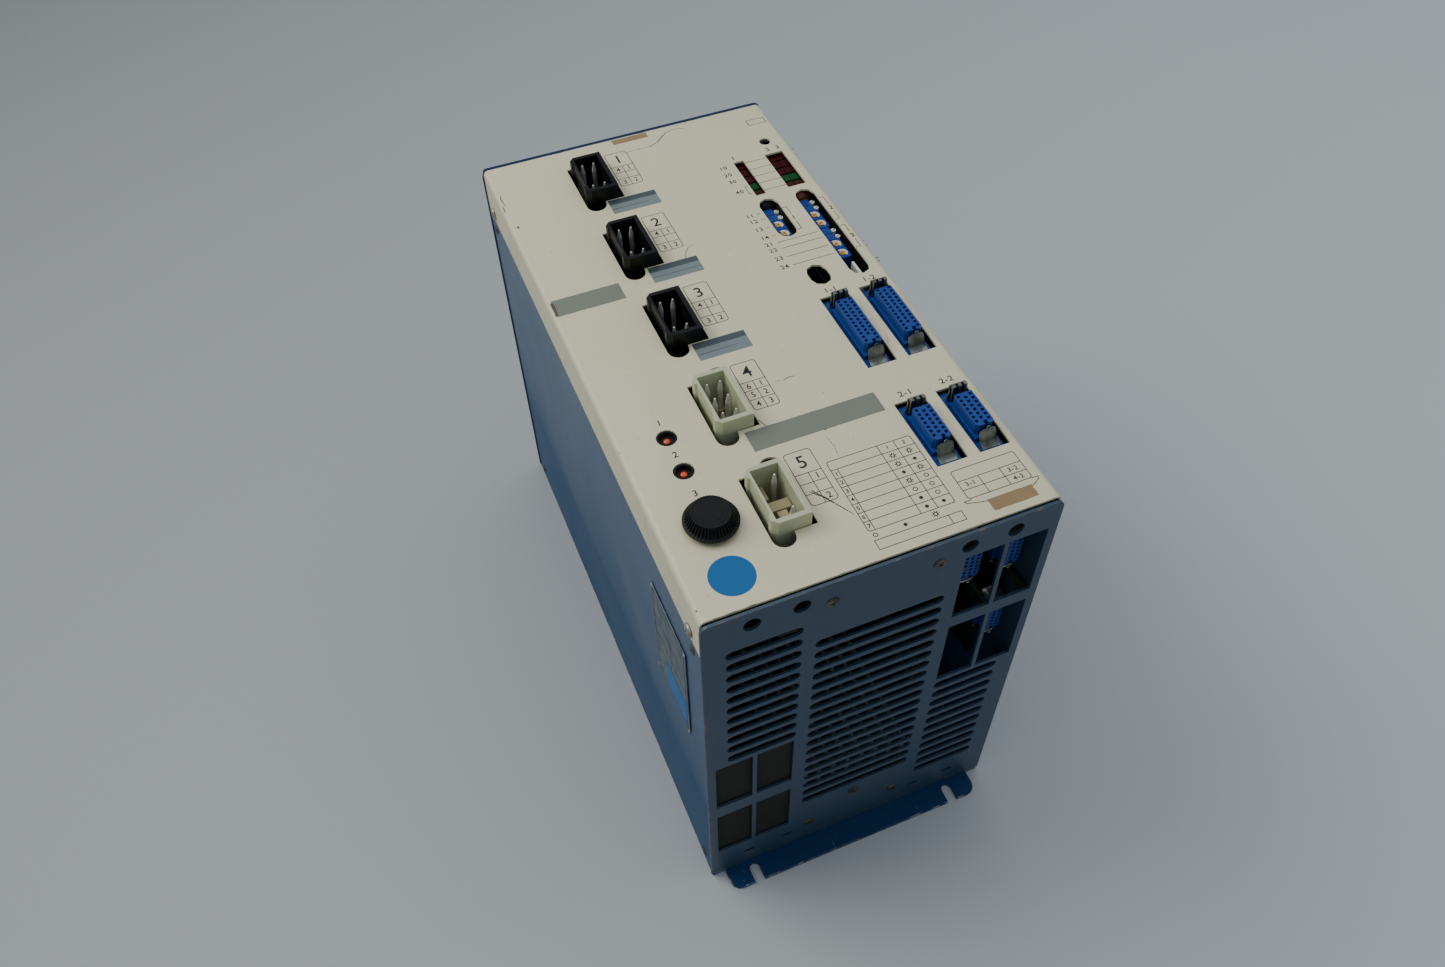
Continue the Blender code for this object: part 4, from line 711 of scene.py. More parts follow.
for bank in ("a", "b", "c"):
    node_name = f"trimmer_bank_{bank}"
    low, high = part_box(node_name)
    left, face = low.x, high.z
    centre_x = low.x + 3.9 * MM
    edges = [high.y, high.y - NARROW, high.y - 2 * NARROW, high.y - 2 * NARROW - WIDE, low.y]
    blocks = bmesh.new()
    rings = bmesh.new()
    for number in range(4):
        case = bmesh.new()
        far, near = edges[number] - 0.12 * MM, edges[number + 1] + 0.12 * MM
        right = centre_x + (2.5 * MM if number < 2 else 3.9 * MM)
        block(case, (left, near, face - 11.0 * MM), (right, far, face))
        spot = (centre_x + (4.4 * MM if number < 2 else 0.0), (far + near) / 2)
        name = f"{node_name}_screw_{number + 1}"
        screw_low, screw_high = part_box(name)
        if number < 2:
            block(blocks, (right - 1.0 * MM, near + 0.6 * MM, face - 9.0 * MM),
                  (right + 3.6 * MM, far - 0.6 * MM, screw_low.z - 0.3 * MM))
            screw = adjuster(1.45 * MM, screw_low.z, screw_high.z + 0.6 * MM, spot, 0.55 * MM)
            dress(add_piece(f"{name}_head", screw, 0.06 * MM, [name], body=f"trimmer_{bank}{number + 1}"),
                  white_nylon)
        else:
            well = bmesh.new()
            rod(well, 1.85 * MM, face - 1.6 * MM, face + 1.0 * MM, spot, 28)
            case = carved(case, well)
            screw = adjuster(1.7 * MM, screw_low.z, face + 0.15 * MM, spot, 0.6 * MM)
            dress(add_piece(f"{name}_head", screw, 0.06 * MM, [name], body=f"trimmer_{bank}{number + 1}"),
                  brass)
            ring = bmesh.new()
            rod(ring, 2.9 * MM, face - 0.2 * MM, face + 0.2 * MM, spot, 32)
            hole = bmesh.new()
            rod(hole, 1.85 * MM, face - 1.0 * MM, face + 1.0 * MM,
                (spot[0] - 0.35 * MM, spot[1] - 0.25 * MM), 28)
            ring = carved(ring, hole)
            half_cut = bmesh.new()
            block(half_cut, (-6.0 * MM, -6.0 * MM, -1.0 * MM), (6.0 * MM, 0.0, 1.0 * MM))
            bmesh.ops.rotate(
                half_cut, cent=(0, 0, 0), matrix=Matrix.Rotation(-1.0, 3, "Z"), verts=half_cut.verts)
            bmesh.ops.translate(half_cut, vec=(*spot, face), verts=half_cut.verts)
            append_shape(rings, carved(ring, half_cut))
        append_shape(blocks, case)
    block(blocks, (left + 1.0 * MM, low.y, low.z), (high.x, high.y, face - 10.8 * MM))
    dress(add_piece(f"{node_name}_bodies", blocks, 0.25 * MM, [node_name]), trimmer_blue)
    dress(add_piece(f"{node_name}_rings", rings, 0.05 * MM), cream_ring)


# ---- Status lamps ----------------------------------------------------------------------------
# Rows of bar lamps on each control board's edge, seen unlit through the front windows: three red
# rows, a green one and an amber one. The boards and the small parts beside the trimmers are here.

def lamp_plastic(name, colour, dark):
    return moulded_plastic(name, colour, dark, 0.42, 0.1, Specular_IOR_Level=0.1)


LAMPS = {
    "red": lamp_plastic("red_lamp", (0.062, 0.003, 0.003), (0.030, 0.002, 0.002)),
    "green": lamp_plastic("green_lamp", (0.006, 0.080, 0.018), (0.004, 0.050, 0.012)),
    "amber": lamp_plastic("amber_lamp", (0.055, 0.018, 0.006), (0.034, 0.011, 0.005)),
}
LAMP_ROWS = ("red", "red", "red", "green", "amber")
LAMP_PITCH = 34.2 * MM / 5


def cad_board(name):
    """A control board without its lamps: the CAD node cut back to its sheet."""
    low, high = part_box(name)
    sheet = bmesh.new()
    sheet.from_mesh(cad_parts[name].data)
    bmesh.ops.remove_doubles(sheet, verts=sheet.verts, dist=2e-6)
    keep = bmesh.new()
    block(keep, (high.x - 1.6 * MM, low.y - MM, low.z - MM), (high.x + MM, high.y + MM, TOP - 13.0 * MM))
    return carved(sheet, keep, "INTERSECT")


board_green = moulded_plastic(
    "solder_mask_green", (0.016, 0.045, 0.014), (0.026, 0.042, 0.012), 0.38, 0.3, dust=(0.13, 0.12, 0.07))
lamp_top = TOP - 2.6 * MM
lamps_far = 119.6 * MM
lamp_columns = {
    "control_board_1": ((52.5 * MM, 5.2 * MM),),
    "control_board_2": ((71.9 * MM, 5.4 * MM), (77.5 * MM, 5.4 * MM)),
}
for board, columns in lamp_columns.items():
    sheet = add_piece(f"{board}_sheet", cad_board(board), 0.0, [board])
    dress(sheet, board_green)
    holder = bmesh.new()
    low_x = columns[0][0] - columns[0][1] / 2 - 0.3 * MM
    high_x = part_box(board)[1].x - 1.6 * MM
    block(holder, (low_x, lamps_far - 34.4 * MM, lamp_top - 9.5 * MM),
          (high_x, lamps_far, lamp_top - 0.8 * MM))
    dress(add_piece(f"{board}_lamp_holder", holder, 0.2 * MM), black_moulding)
    for colour in ("red", "green", "amber"):
        bars = bmesh.new()
        for row, tint in enumerate(LAMP_ROWS):
            for x, wide in columns:
                if tint == colour:
                    far = lamps_far - row * LAMP_PITCH - 0.5 * MM
                    block(bars, (x - wide / 2, far - LAMP_PITCH + 1.0 * MM, lamp_top - 4.0 * MM),
                          (x + wide / 2, far, lamp_top))
        dress(add_piece(f"{board}_{colour}_lamps", bars, 0.5 * MM, segments=3),
              LAMPS[colour])

film_brown = moulded_plastic(
    "film_capacitor_brown", (0.26, 0.085, 0.018), (0.20, 0.06, 0.014), 0.3, 0.1, Coat_Weight=0.3)
dark_resistor = moulded_plastic("dark_component", (0.020, 0.018, 0.022), (0.03, 0.02, 0.02), 0.5, 0.2)
lacquer_red = moulded_plastic("red_lacquer", (0.18, 0.02, 0.015), (0.12, 0.015, 0.01), 0.3, 0.1)
for name, x, lacquer in (
        ("film_capacitor", 75.5 * MM, film_brown), ("dark_capacitor", 54.0 * MM, dark_resistor)):
    disc = bmesh.new()
    bmesh.ops.create_uvsphere(disc, u_segments=28, v_segments=16, radius=5.0 * MM)
    bmesh.ops.scale(disc, vec=(1.3, 0.95, 1.3), verts=disc.verts)
    bmesh.ops.translate(disc, vec=(x, 82.6 * MM, TOP - 8.5 * MM), verts=disc.verts)
    dress(add_piece(name, disc), lacquer)
parts = bmesh.new()
for x in (46.3 * MM, 68.3 * MM):
    rod(parts, 1.2 * MM, TOP - 16.0 * MM, TOP - 7.0 * MM, (x, 79.0 * MM), 16)
dress(add_piece("lacquered_parts", parts, 0.4 * MM), lacquer_red)
strip = bmesh.new()
block(strip, (73.8 * MM, -1.0 * MM, TOP - 14.0 * MM), (75.1 * MM, 15.0 * MM, TOP - 3.0 * MM))
dress(add_piece("cable_strip", strip, 0.2 * MM), white_nylon)


# ---- Fuses -----------------------------------------------------------------------------------
# Two plug-in fuses with a recessed face and an orange blown-fuse lens, and one glass cartridge
# fuse under a ribbed bakelite cap that turns a quarter to release.

orange_lens = moulded_plastic(
    "orange_lens", (0.80, 0.10, 0.025), (0.70, 0.07, 0.02), 0.25, 0.05, Coat_Weight=0.3)
bakelite = moulded_plastic(
    "black_bakelite", (0.008, 0.008, 0.008), (0.005, 0.005, 0.005), 0.45, 0.18, 1900.0,
    dust=(0.06, 0.06, 0.052), Specular_IOR_Level=0.22)


def dished(steps, sides):
    """Stacks rings from (radius, height) steps, closed at both ends, as a turned solid."""
    shape = bmesh.new()
    start = bmesh.ops.create_circle(shape, cap_ends=True, segments=sides, radius=steps[0][0])
    bmesh.ops.translate(shape, vec=(0.0, 0.0, steps[0][1]), verts=start["verts"])
    face = shape.faces[:][0]
    for radius, height in steps[1:]:
        raised = bmesh.ops.extrude_face_region(shape, geom=[face])
        verts = [item for item in raised["geom"] if isinstance(item, bmesh.types.BMVert)]
        if face.is_valid and len(shape.faces) > sides + 2:
            bmesh.ops.delete(shape, geom=[face], context="FACES_ONLY")
        face = [item for item in raised["geom"] if isinstance(item, bmesh.types.BMFace)][0]
        now = verts[0].co.xy.length
        bmesh.ops.scale(shape, vec=(radius / now, radius / now, 1.0), verts=verts)
        bmesh.ops.translate(shape, vec=(0.0, 0.0, height - verts[0].co.z), verts=verts)
    bmesh.ops.recalc_face_normals(shape, faces=shape.faces)
    return shape


for number in (1, 2):
    low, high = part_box(f"small_fuse_{number}")
    centre = (low + high) / 2
    neck = 4.75 * MM
    barrel = dished([
        (6.8 * MM, low.z), (6.8 * MM, TOP - 1.5 * MM), (neck, TOP - 1.5 * MM), (neck, TOP - 0.5 * MM),
        (neck - 0.9 * MM, TOP - 0.45 * MM), (neck - 1.3 * MM, TOP - 2.6 * MM),
        (neck - 2.2 * MM, TOP - 2.7 * MM)], 48)
    bmesh.ops.translate(barrel, vec=(centre.x, centre.y, 0.0), verts=barrel.verts)
    dress(add_piece(f"small_fuse_{number}_barrel", barrel, 0.0, [f"small_fuse_{number}"], smooth_to=40.0),
          bakelite)
    lens = bmesh.new()
    bmesh.ops.create_uvsphere(lens, u_segments=24, v_segments=14, radius=1.75 * MM)
    bmesh.ops.scale(lens, vec=(1.0, 1.0, 0.55), verts=lens.verts)
    bmesh.ops.translate(lens, vec=(centre.x, centre.y, TOP - 2.6 * MM), verts=lens.verts)
    dress(add_piece(f"small_fuse_{number}_lens", lens), orange_lens)

cap_low, cap_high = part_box("fuse_cap")
cap_centre = (cap_low + cap_high) / 2
RIBS = 44
cap = dished([
    (12.3 * MM, 0.0), (12.7 * MM, 0.5 * MM), (12.7 * MM, 1.2 * MM), (11.8 * MM, 1.8 * MM),
    (9.9 * MM, 5.6 * MM), (9.5 * MM, 6.2 * MM), (9.0 * MM, 6.55 * MM), (8.4 * MM, 6.55 * MM),
    (8.2 * MM, 6.35 * MM), (4.0 * MM, 6.3 * MM)], RIBS * 4)
for vert in cap.verts:
    spot = round((math.atan2(vert.co.y, vert.co.x) % math.tau) / math.tau * RIBS * 4) % 4
    if 1.5 * MM < vert.co.z < 6.3 * MM and spot in (0, 1):
        pull = 1.0 - 0.8 * MM / vert.co.xy.length
        vert.co.x, vert.co.y = vert.co.x * pull, vert.co.y * pull
marks = bmesh.new()
for radius in (7.2, 5.4):
    for step in range(9):
        turn = math.radians(200 + step * 18)
        spot = Vector((math.cos(turn) * radius * MM, math.sin(turn) * radius * MM, 6.3 * MM))
        block(marks, spot - Vector((0.32, 0.32, 0.2)) * MM, spot + Vector((0.32, 0.32, 0.2)) * MM)
append_shape(cap, marks)
bmesh.ops.translate(cap, vec=(cap_centre.x, cap_centre.y, cap_low.z), verts=cap.verts)
dress(add_piece("fuse_cap_moulding", cap, 0.0, ["fuse_cap"], body="fuse_cap", smooth_to=32.0),
      bakelite)
dress(softened("fuse_holder", 0.2 * MM), bakelite)

glass, glass_tree, glass_shader = new_material(
    "fuse_glass", Base_Color=(0.92, 0.96, 0.95, 1.0), Roughness=0.04, Transmission_Weight=1.0, IOR=1.5)
glass_grain = placed_group(glass_tree, GRAIN, Fine_Scale=900.0, Broad_Scale=200.0, Speck_Scale=500.0)
bump(glass_tree, glass_shader, glass_grain["Fine"], 0.05, 0.00002)
link_low, link_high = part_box("fuse_link")
link_centre = (link_low + link_high) / 2
tube = bmesh.new()
rod(tube, 3.0 * MM, link_low.z + 6.0 * MM, link_high.z - 6.0 * MM, link_centre.xy, 32)
dress(add_piece("fuse_link_glass", tube, 0.0, ["fuse_link"], body="fuse_carrier"), glass)
ends = bmesh.new()
rod(ends, 3.18 * MM, link_low.z, link_low.z + 6.2 * MM, link_centre.xy, 32)
rod(ends, 3.18 * MM, link_high.z - 6.2 * MM, link_high.z, link_centre.xy, 32)
dress(add_piece("fuse_link_ends", ends, 0.25 * MM, body="fuse_carrier"), tinned_pin)


# ---- Printing on the cover -------------------------------------------------------------------
# Dark grey screen print, one thin coat: a table beside each header, leader lines to the lamps and
# trimmers, a state table with round symbols, and plain numbers. Places run from the cover's
# left and far edges, in millimetres.

def on_panel(x, y, rise=0.0):
    return Vector((-HALF_W + x * MM, HALF_L - y * MM, TOP + rise * MM))


ink_shape = bmesh.new()
INK = 0.03
THIN = 0.38


def ink_line(x0, y0, x1, y1, width=THIN, shape=None, rise=INK):
    """A straight stroke between two panel places, with squared ends."""
    start, end = on_panel(x0, y0), on_panel(x1, y1)
    along = end - start
    place = Matrix.Translation((start + end) / 2) @ along.to_track_quat("X", "Z").to_matrix().to_4x4()
    size = Matrix.Diagonal((along.length + width * MM, width * MM, 2 * rise * MM, 1.0))
    bmesh.ops.create_cube(shape or ink_shape, size=1.0, matrix=place @ size)


def ink_path(points, closed=False):
    for first, second in zip(points, points[1:] + points[:1] if closed else points[1:]):
        ink_line(*first, *second)


def ink_frame(x0, y0, x1, y1, radius=0.0):
    """A rectangle outline, whose corners are rounded if it has a radius."""
    if not radius:
        return ink_path([(x0, y0), (x1, y0), (x1, y1), (x0, y1)], True)
    points = []
    for cx, cy, start in ((x1 - radius, y0 + radius, -90), (x1 - radius, y1 - radius, 0),
                          (x0 + radius, y1 - radius, 90), (x0 + radius, y0 + radius, 180)):
        for step in range(5):
            turn = math.radians(start + step * 22.5)
            points.append((cx + radius * math.cos(turn), cy + radius * math.sin(turn)))
    return ink_path(points, True)


def ink_disc(x, y, radius, ring=False):
    """A dot, or a ring one stroke wide."""
    spot = on_panel(x, y)
    if ring:
        points = [(x + radius * math.cos(math.tau * k / 14), y + radius * math.sin(math.tau * k / 14))
                  for k in range(14)]
        return ink_path(points, True)
    return bmesh.ops.create_cone(
        ink_shape, cap_ends=True, segments=16, radius1=radius * MM, radius2=radius * MM,
        depth=2 * INK * MM, matrix=Matrix.Translation(spot))


def ink_sun(x, y):
    """A small ring with eight rays, for a blinking lamp."""
    ink_disc(x, y, 0.85, True)
    near, far = 1.15, 1.7
    for ray in range(8):
        turn = math.tau * ray / 8
        ink_line(x + near * math.cos(turn), y + near * math.sin(turn),
                 x + far * math.cos(turn), y + far * math.sin(turn))


def ink_text(text, x, y, height, squeeze=1.0):
    """Plain numbers, centred on a place."""
    curve = bpy.data.curves.new("number", "FONT")
    curve.body = text
    curve.size = height / 0.72 * MM
    curve.align_x = "CENTER"
    curve.align_y = "CENTER"
    curve.extrude = INK * MM
    curve.offset = (0.10 if height > 5 else 0.07) * MM
    curve.space_character = 1.15
    curve.resolution_u = 3
    holder = bpy.data.objects.new("number", curve)
    bpy.context.scene.collection.objects.link(holder)
    bpy.context.view_layer.update()
    mesh = bpy.data.meshes.new_from_object(holder.evaluated_get(bpy.context.evaluated_depsgraph_get()))
    mesh.transform(Matrix.Translation(on_panel(x, y)) @ Matrix.Diagonal((squeeze, 1.0, 1.0, 1.0)))
    ink_shape.from_mesh(mesh)
    bpy.data.objects.remove(holder)
    bpy.data.curves.remove(curve)
    bpy.data.meshes.remove(mesh)


header_rows = [36.1, 99.0, 161.9, 224.8, 287.7]
motor_cells = (("4", "1"), ("", ""), ("3", "2"))
supply_cells = (("6", "1"), ("5", "2"), ("4", "3"))
control_cells = (("", "1"), ("", ""), ("", "2"))
cells = (motor_cells, motor_cells, motor_cells, supply_cells, control_cells)
for number, (middle, rows) in enumerate(zip(header_rows, cells), 1):
    top = middle - 22.9
    ink_frame(68.6, top, 81.7, top + 31.9, 1.6)
    for line in (13.4, 19.2, 25.3):
        ink_line(68.6, top + line, 81.7, top + line)
    ink_line(75.2, top + 13.4, 75.2, top + 31.9)
    ink_text(str(number), 75.1, top + 7.0, 7.4, 0.95)
    for row, pair in enumerate(rows):
        for side, mark in enumerate(pair):
            if mark:
                ink_text(mark, 72.0 + side * 6.5, top + (16.4, 22.3, 28.7)[row], 3.6, 0.9)

ink_frame(158.1, 13.9, 169.0, 18.9)
for y in (52.4, 59.5, 66.3, 73.1, 80.2):
    ink_line(140.9, y, 155.9, y)
ink_path([(133.7, 73.1), (132.2, 73.1), (132.2, 80.2), (133.7, 80.2)])
for text, y in (("10", 52.4), ("20", 59.5), ("30", 66.3), ("40", 76.6)):
    ink_text(text, 127.6, y, 3.1)
for text, x in (("1", 136.6), ("2", 158.5), ("3", 164.6)):
    ink_text(text, x, 45.6, 3.4)
for text, y in (("11", 98.7), ("12", 104.2), ("13", 111.6), ("14", 119.2)):
    ink_text(text, 124.2, y, 3.1)
    ink_line(128.6, y, 130.4, y)
for text, y in (("21", 125.3), ("22", 130.6), ("23", 137.9), ("24", 145.2)):
    ink_text(text, 124.2, y, 3.1)
    ink_line(129.0, y, 153.0, y)
for x0, x1, y0, y1, mark in (
        (143.6, 146.0, 98.7, 119.2, "1"), (166.3, 168.6, 98.7, 119.6, "2"),
        (166.3, 168.6, 125.5, 145.2, "3")):
    gap = (y0 + y1) / 2
    ink_path([(x0, y0), (x1, y0), (x1, gap - 3.4)])
    ink_path([(x0, y1), (x1, y1), (x1, gap + 3.4)])
    ink_text(mark, x1, gap, 3.4)
ink_text("0", 161.3, 36.9, 2.9)
for text, x, y in (
        ("1-1", 138.4, 170.8), ("1-2", 160.6, 170.6), ("2-1", 138.6, 251.5), ("2-2", 160.9, 251.4)):
    ink_text(text, x, y, 3.5)
for text, y in (("1", 223.7), ("2", 245.0), ("3", 269.7)):
    ink_text(text, 24.1, y, 3.6)

ink_frame(85.0, 276.1, 127.5, 318.8, 1.4)
for row in range(1, 8):
    ink_line(85.0, 276.1 + row * 5.34, 127.5, 276.1 + row * 5.34)
for x in (88.1, 110.6, 118.9):
    ink_line(x, 276.1 if x > 90 else 281.4, x, 318.8)
ink_text("1", 114.8, 278.8, 2.2)
ink_text("2", 123.2, 278.8, 2.2)
symbols = ("ss", "sd", "ds", "sc", "cc", "dc", "dd")
for row, pair in enumerate(symbols):
    y = 276.1 + (row + 1.5) * 5.34
    ink_text(str(row + 1), 86.6, y, 2.3)
    for x, kind in zip((114.8, 123.2), pair):
        if kind == "s":
            ink_sun(x, y)
        elif kind == "d":
            ink_disc(x, y, 0.95)
        else:
            ink_disc(x, y, 1.0, True)
ink_disc(86.9, 321.4, 1.0, True)
ink_disc(101.4, 321.4, 0.95)
ink_sun(116.2, 321.4)
ink_frame(85.0, 324.1, 127.3, 329.2)
ink_line(120.9, 324.1, 120.9, 329.2)
ink_frame(133.6, 303.1, 166.0, 319.8, 1.2)
ink_line(133.6, 309.5, 166.0, 309.5)
ink_line(133.6, 314.8, 166.0, 314.8)
ink_line(144.2, 309.5, 144.2, 319.8)
ink_line(155.1, 309.5, 155.1, 319.8)
for text, x, y in (("3-1", 138.9, 312.2), ("3-2", 160.5, 312.2), ("4-2", 160.5, 317.4)):
    ink_text(text, x, y, 2.5)
ink_path([(130.8, 320.6), (134.6, 320.6)])
ink_path([(130.8, 320.6), (131.6, 321.8), (141.0, 324.0)])
ink_path([(165.6, 320.2), (168.6, 320.2), (168.2, 321.6), (163.6, 324.2)])
print_ink = moulded_plastic(
    "screen_print_ink", (0.022, 0.023, 0.024), (0.045, 0.045, 0.043), 0.6, 0.4, dust=(0.36, 0.34, 0.27),
    Specular_IOR_Level=0.2)
dress(add_piece("cover_printing", ink_shape), print_ink)


# ---- Labels and stickers ---------------------------------------------------------------------
# Thin tapes stuck on the cover, left blank: grey ones, a two-tone one under each motor header,
# two of tan paper at the ends and a round blue one. Hand-cut, so their edges are a little uneven.

def tape_material(name, colour, dark, roughness=0.5):
    return moulded_plastic(
        name, colour, dark, roughness, 0.25, 900.0, dust=(0.24, 0.23, 0.20), Specular_IOR_Level=0.3)


grey_tape = tape_material("grey_tape", (0.215, 0.232, 0.178), (0.185, 0.203, 0.158))
pale_tape = tape_material("pale_grey_tape", (0.215, 0.255, 0.255), (0.165, 0.205, 0.210))
dark_tape = tape_material("dark_grey_tape", (0.075, 0.098, 0.108), (0.058, 0.078, 0.088))
tan_paper = tape_material("tan_paper", (0.345, 0.240, 0.118), (0.250, 0.172, 0.085), 0.7)
blue_sticker = tape_material("blue_sticker", (0.005, 0.135, 0.370), (0.004, 0.118, 0.330), 0.5)
grime = tape_material("dark_grime", (0.07, 0.065, 0.055), (0.14, 0.13, 0.11), 0.8)
smear = tape_material("grey_smear", (0.44, 0.42, 0.36), (0.56, 0.53, 0.44), 0.7)


def tape(name, outline, thick, material):
    """A thin label raised from an outline of panel places."""
    shape = bmesh.new()
    points = [on_panel(x, y) for x, y in outline]
    face = shape.faces.new([shape.verts.new(point) for point in points])
    face.normal_update()
    if face.normal.z < 0:
        face.normal_flip()
    raised = bmesh.ops.extrude_face_region(shape, geom=[face])
    verts = [item for item in raised["geom"] if isinstance(item, bmesh.types.BMVert)]
    bmesh.ops.translate(shape, vec=(0.0, 0.0, thick * MM), verts=verts)
    bmesh.ops.recalc_face_normals(shape, faces=shape.faces)
    return dress(add_piece(name, shape), material)


def torn(x0, y0, x1, y1, rough, seed, lean=0.0):
    """A rectangle whose edges wander slightly, as torn or hand-cut tape does."""
    random.seed(seed)
    points = []
    corners = [(x0, y0), (x1, y0 + lean), (x1, y1 + lean), (x0, y1)]
    for (ax, ay), (bx, by) in zip(corners, corners[1:] + corners[:1]):
        steps = max(2, int(math.hypot(bx - ax, by - ay) / 2.2))
        for step in range(steps):
            share = step / steps
            points.append((ax + (bx - ax) * share + random.uniform(-rough, rough),
                           ay + (by - ay) * share + random.uniform(-rough, rough)))
    return points


tape("left_grey_label", torn(2.4, 122.4, 39.4, 135.0, 0.08, 3), 0.09, grey_tape)
tape("left_label_dark_edge", torn(1.9, 124.0, 3.4, 134.6, 0.35, 8), 0.12, grime)
tape("wide_grey_label", torn(58.2, 245.0, 95.0, 257.6, 0.08, 4), 0.09, grey_tape)
tape("wide_grey_label_end", torn(94.6, 245.0, 125.0, 257.6, 0.08, 5), 0.085, grey_tape)
for number, middle in enumerate(header_rows[:3], 1):
    top = middle + 18.7
    left = 56.2 + 0.4 * number
    tape(f"motor_label_{number}", torn(left, top + 4.2, left + 27.8, top + 12.4, 0.04, 10 + number, 0.1),
         0.08, pale_tape)
    tape(f"motor_label_{number}_band", torn(left, top, left + 27.8, top + 4.3, 0.04, 20 + number, 0.1),
         0.085, dark_tape)
    lines = bmesh.new()
    ink_line(left + 0.8, top + 8.3, left + 27.0, top + 8.4, THIN, lines, 0.11)
    dress(add_piece(f"motor_label_{number}_line", lines), dark_tape)
tape("far_tan_label", torn(77.4, 0.8, 99.0, 5.4, 0.12, 31), 0.08, tan_paper)
tape("near_tan_label", torn(140.9, 323.2, 163.3, 329.9, 0.14, 32), 0.08, tan_paper)
turns = [math.tau * step / 72 for step in range(72)]
round_outline = [(21.8 + 10.4 * math.cos(turn), 317.0 + 10.4 * math.sin(turn)) for turn in turns]
tape("round_blue_sticker", round_outline, 0.09, blue_sticker)


# ---- Marks left by use -----------------------------------------------------------------------
# Grey smears, hair-thin scratches, a dark gouge beside the last header and chips of bare steel
# along the cover's edges. The strokes are a few hundredths of a millimetre thick; chips are flat.

def brushed(shape, points, width, seed):
    """A wandering stroke that thins out to both ends."""
    random.seed(seed)
    count = len(points) - 1
    for index, (first, second) in enumerate(zip(points, points[1:])):
        share = math.sin(math.pi * (index + 0.7) / (count + 0.4))
        for piece in range(3):
            a, b = piece / 3, (piece + 1.1) / 3
            wobble = random.uniform(-0.12, 0.12) * width * 2
            stroke = width * (0.35 + 0.65 * share) * random.uniform(0.75, 1.2)
            ink_line(first[0] + (second[0] - first[0]) * a + wobble, first[1] + (second[1] - first[1]) * a,
                     first[0] + (second[0] - first[0]) * b, first[1] + (second[1] - first[1]) * b + wobble,
                     max(stroke, THIN), shape, 0.035)


dark_marks = bmesh.new()
for seed, (width, stroke) in enumerate((
        (0.62, [(71.2, 288.6), (73.0, 291.0), (75.4, 293.8), (78.0, 298.0), (81.0, 303.2), (83.2, 307.2)]),
        (0.5, [(72.2, 288.4), (74.6, 292.2), (77.0, 295.4)]),
        (0.3, [(89.2, 220.9), (91.6, 219.9), (94.8, 220.2)]),
        (0.3, [(67.6, 240.0), (68.6, 243.0), (69.8, 246.6)]),
        (0.5, [(3.0, 26.0), (2.4, 29.0), (2.6, 33.0), (3.2, 36.0)]),
        (0.25, [(1.6, 36.0), (1.4, 41.0)]),
        (0.4, [(90.5, 256.4), (93.8, 257.8), (96.8, 256.8), (98.8, 257.6)])), 1):
    brushed(dark_marks, stroke, width, seed)
for x, y, size in ((4.3, 57.3, 1.0), (172.0, 51.0, 0.55), (172.1, 56.3, 0.5), (171.8, 28.0, 0.45),
                   (172.0, 142.0, 0.5), (172.0, 146.0, 0.6), (172.1, 157.5, 0.7), (172.0, 160.0, 0.5),
                   (14.4, 84.6, 0.3), (71.0, 98.0, 0.25), (103.0, 236.0, 0.25), (148.6, 214.0, 0.35),
                   (0.8, 233.6, 0.35), (1.4, 327.6, 0.5), (60.0, 318.0, 0.22), (35.0, 190.0, 0.2)):
    random.seed(int(x * 10 + y))
    spots = [(x + size * random.uniform(0.6, 1.2) * math.cos(math.tau * k / 7),
              y + size * random.uniform(0.6, 1.2) * math.sin(math.tau * k / 7)) for k in range(7)]
    chip = dark_marks.faces.new([dark_marks.verts.new(on_panel(px, py, 0.02)) for px, py in spots])
    chip.normal_update()
    if chip.normal.z < 0:
        chip.normal_flip()
dress(add_piece("cover_dark_marks", dark_marks), grime)
pale_marks = bmesh.new()
for seed, (width, stroke) in enumerate((
        (0.85, [(78.4, 14.7), (84.0, 15.2), (90.0, 15.2), (97.0, 15.0), (102.0, 13.0), (106.0, 9.0),
                (110.0, 5.8), (115.0, 4.2), (119.0, 4.8), (122.0, 6.6)]),
        (0.5, [(77.0, 121.6), (78.8, 117.6), (80.8, 113.4), (83.6, 109.8), (87.0, 108.6)]),
        (0.4, [(92.0, 262.0), (93.0, 268.0), (92.2, 274.0)]),
        (0.3, [(84.0, 220.0), (88.0, 220.4)]),
        (0.4, [(147.0, 218.0), (148.4, 214.6)]),
        (0.5, [(116.0, 1.4), (124.0, 0.9)])), 11):
    brushed(pale_marks, stroke, width, seed)
dress(add_piece("cover_pale_smears", pale_marks), smear)


# ---- Nameplate -------------------------------------------------------------------------------
# Thin satin aluminium on the left side, riveted at its corners and left blank apart from a ruled
# frame and a blue block at its foot.

plate_metal = plated_metal("nameplate_aluminium", (0.20, 0.24, 0.27), (0.13, 0.16, 0.19), 0.5)
dress(softened("nameplate", 0.12 * MM), plate_metal)
plate_low, plate_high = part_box("nameplate")
ruled = bmesh.new()
face_x = plate_low.x
for y0, y1, z0, z1 in (
        (2.0, 42.6, 71.0, 71.4), (2.0, 42.6, 50.0, 50.3), (2.0, 42.6, 36.0, 36.3), (2.0, 42.6, 26.0, 26.3),
        (2.0, 42.6, 2.0, 2.4), (2.0, 2.4, 2.0, 71.4), (42.2, 42.6, 2.0, 71.4), (22.0, 22.3, 26.0, 50.0)):
    block(ruled, (face_x - 0.05 * MM, plate_low.y + y0 * MM, plate_low.z + z0 * MM),
          (face_x + 0.1 * MM, plate_low.y + y1 * MM, plate_low.z + z1 * MM))
dress(add_piece("nameplate_ruling", ruled), print_ink)
field = bmesh.new()
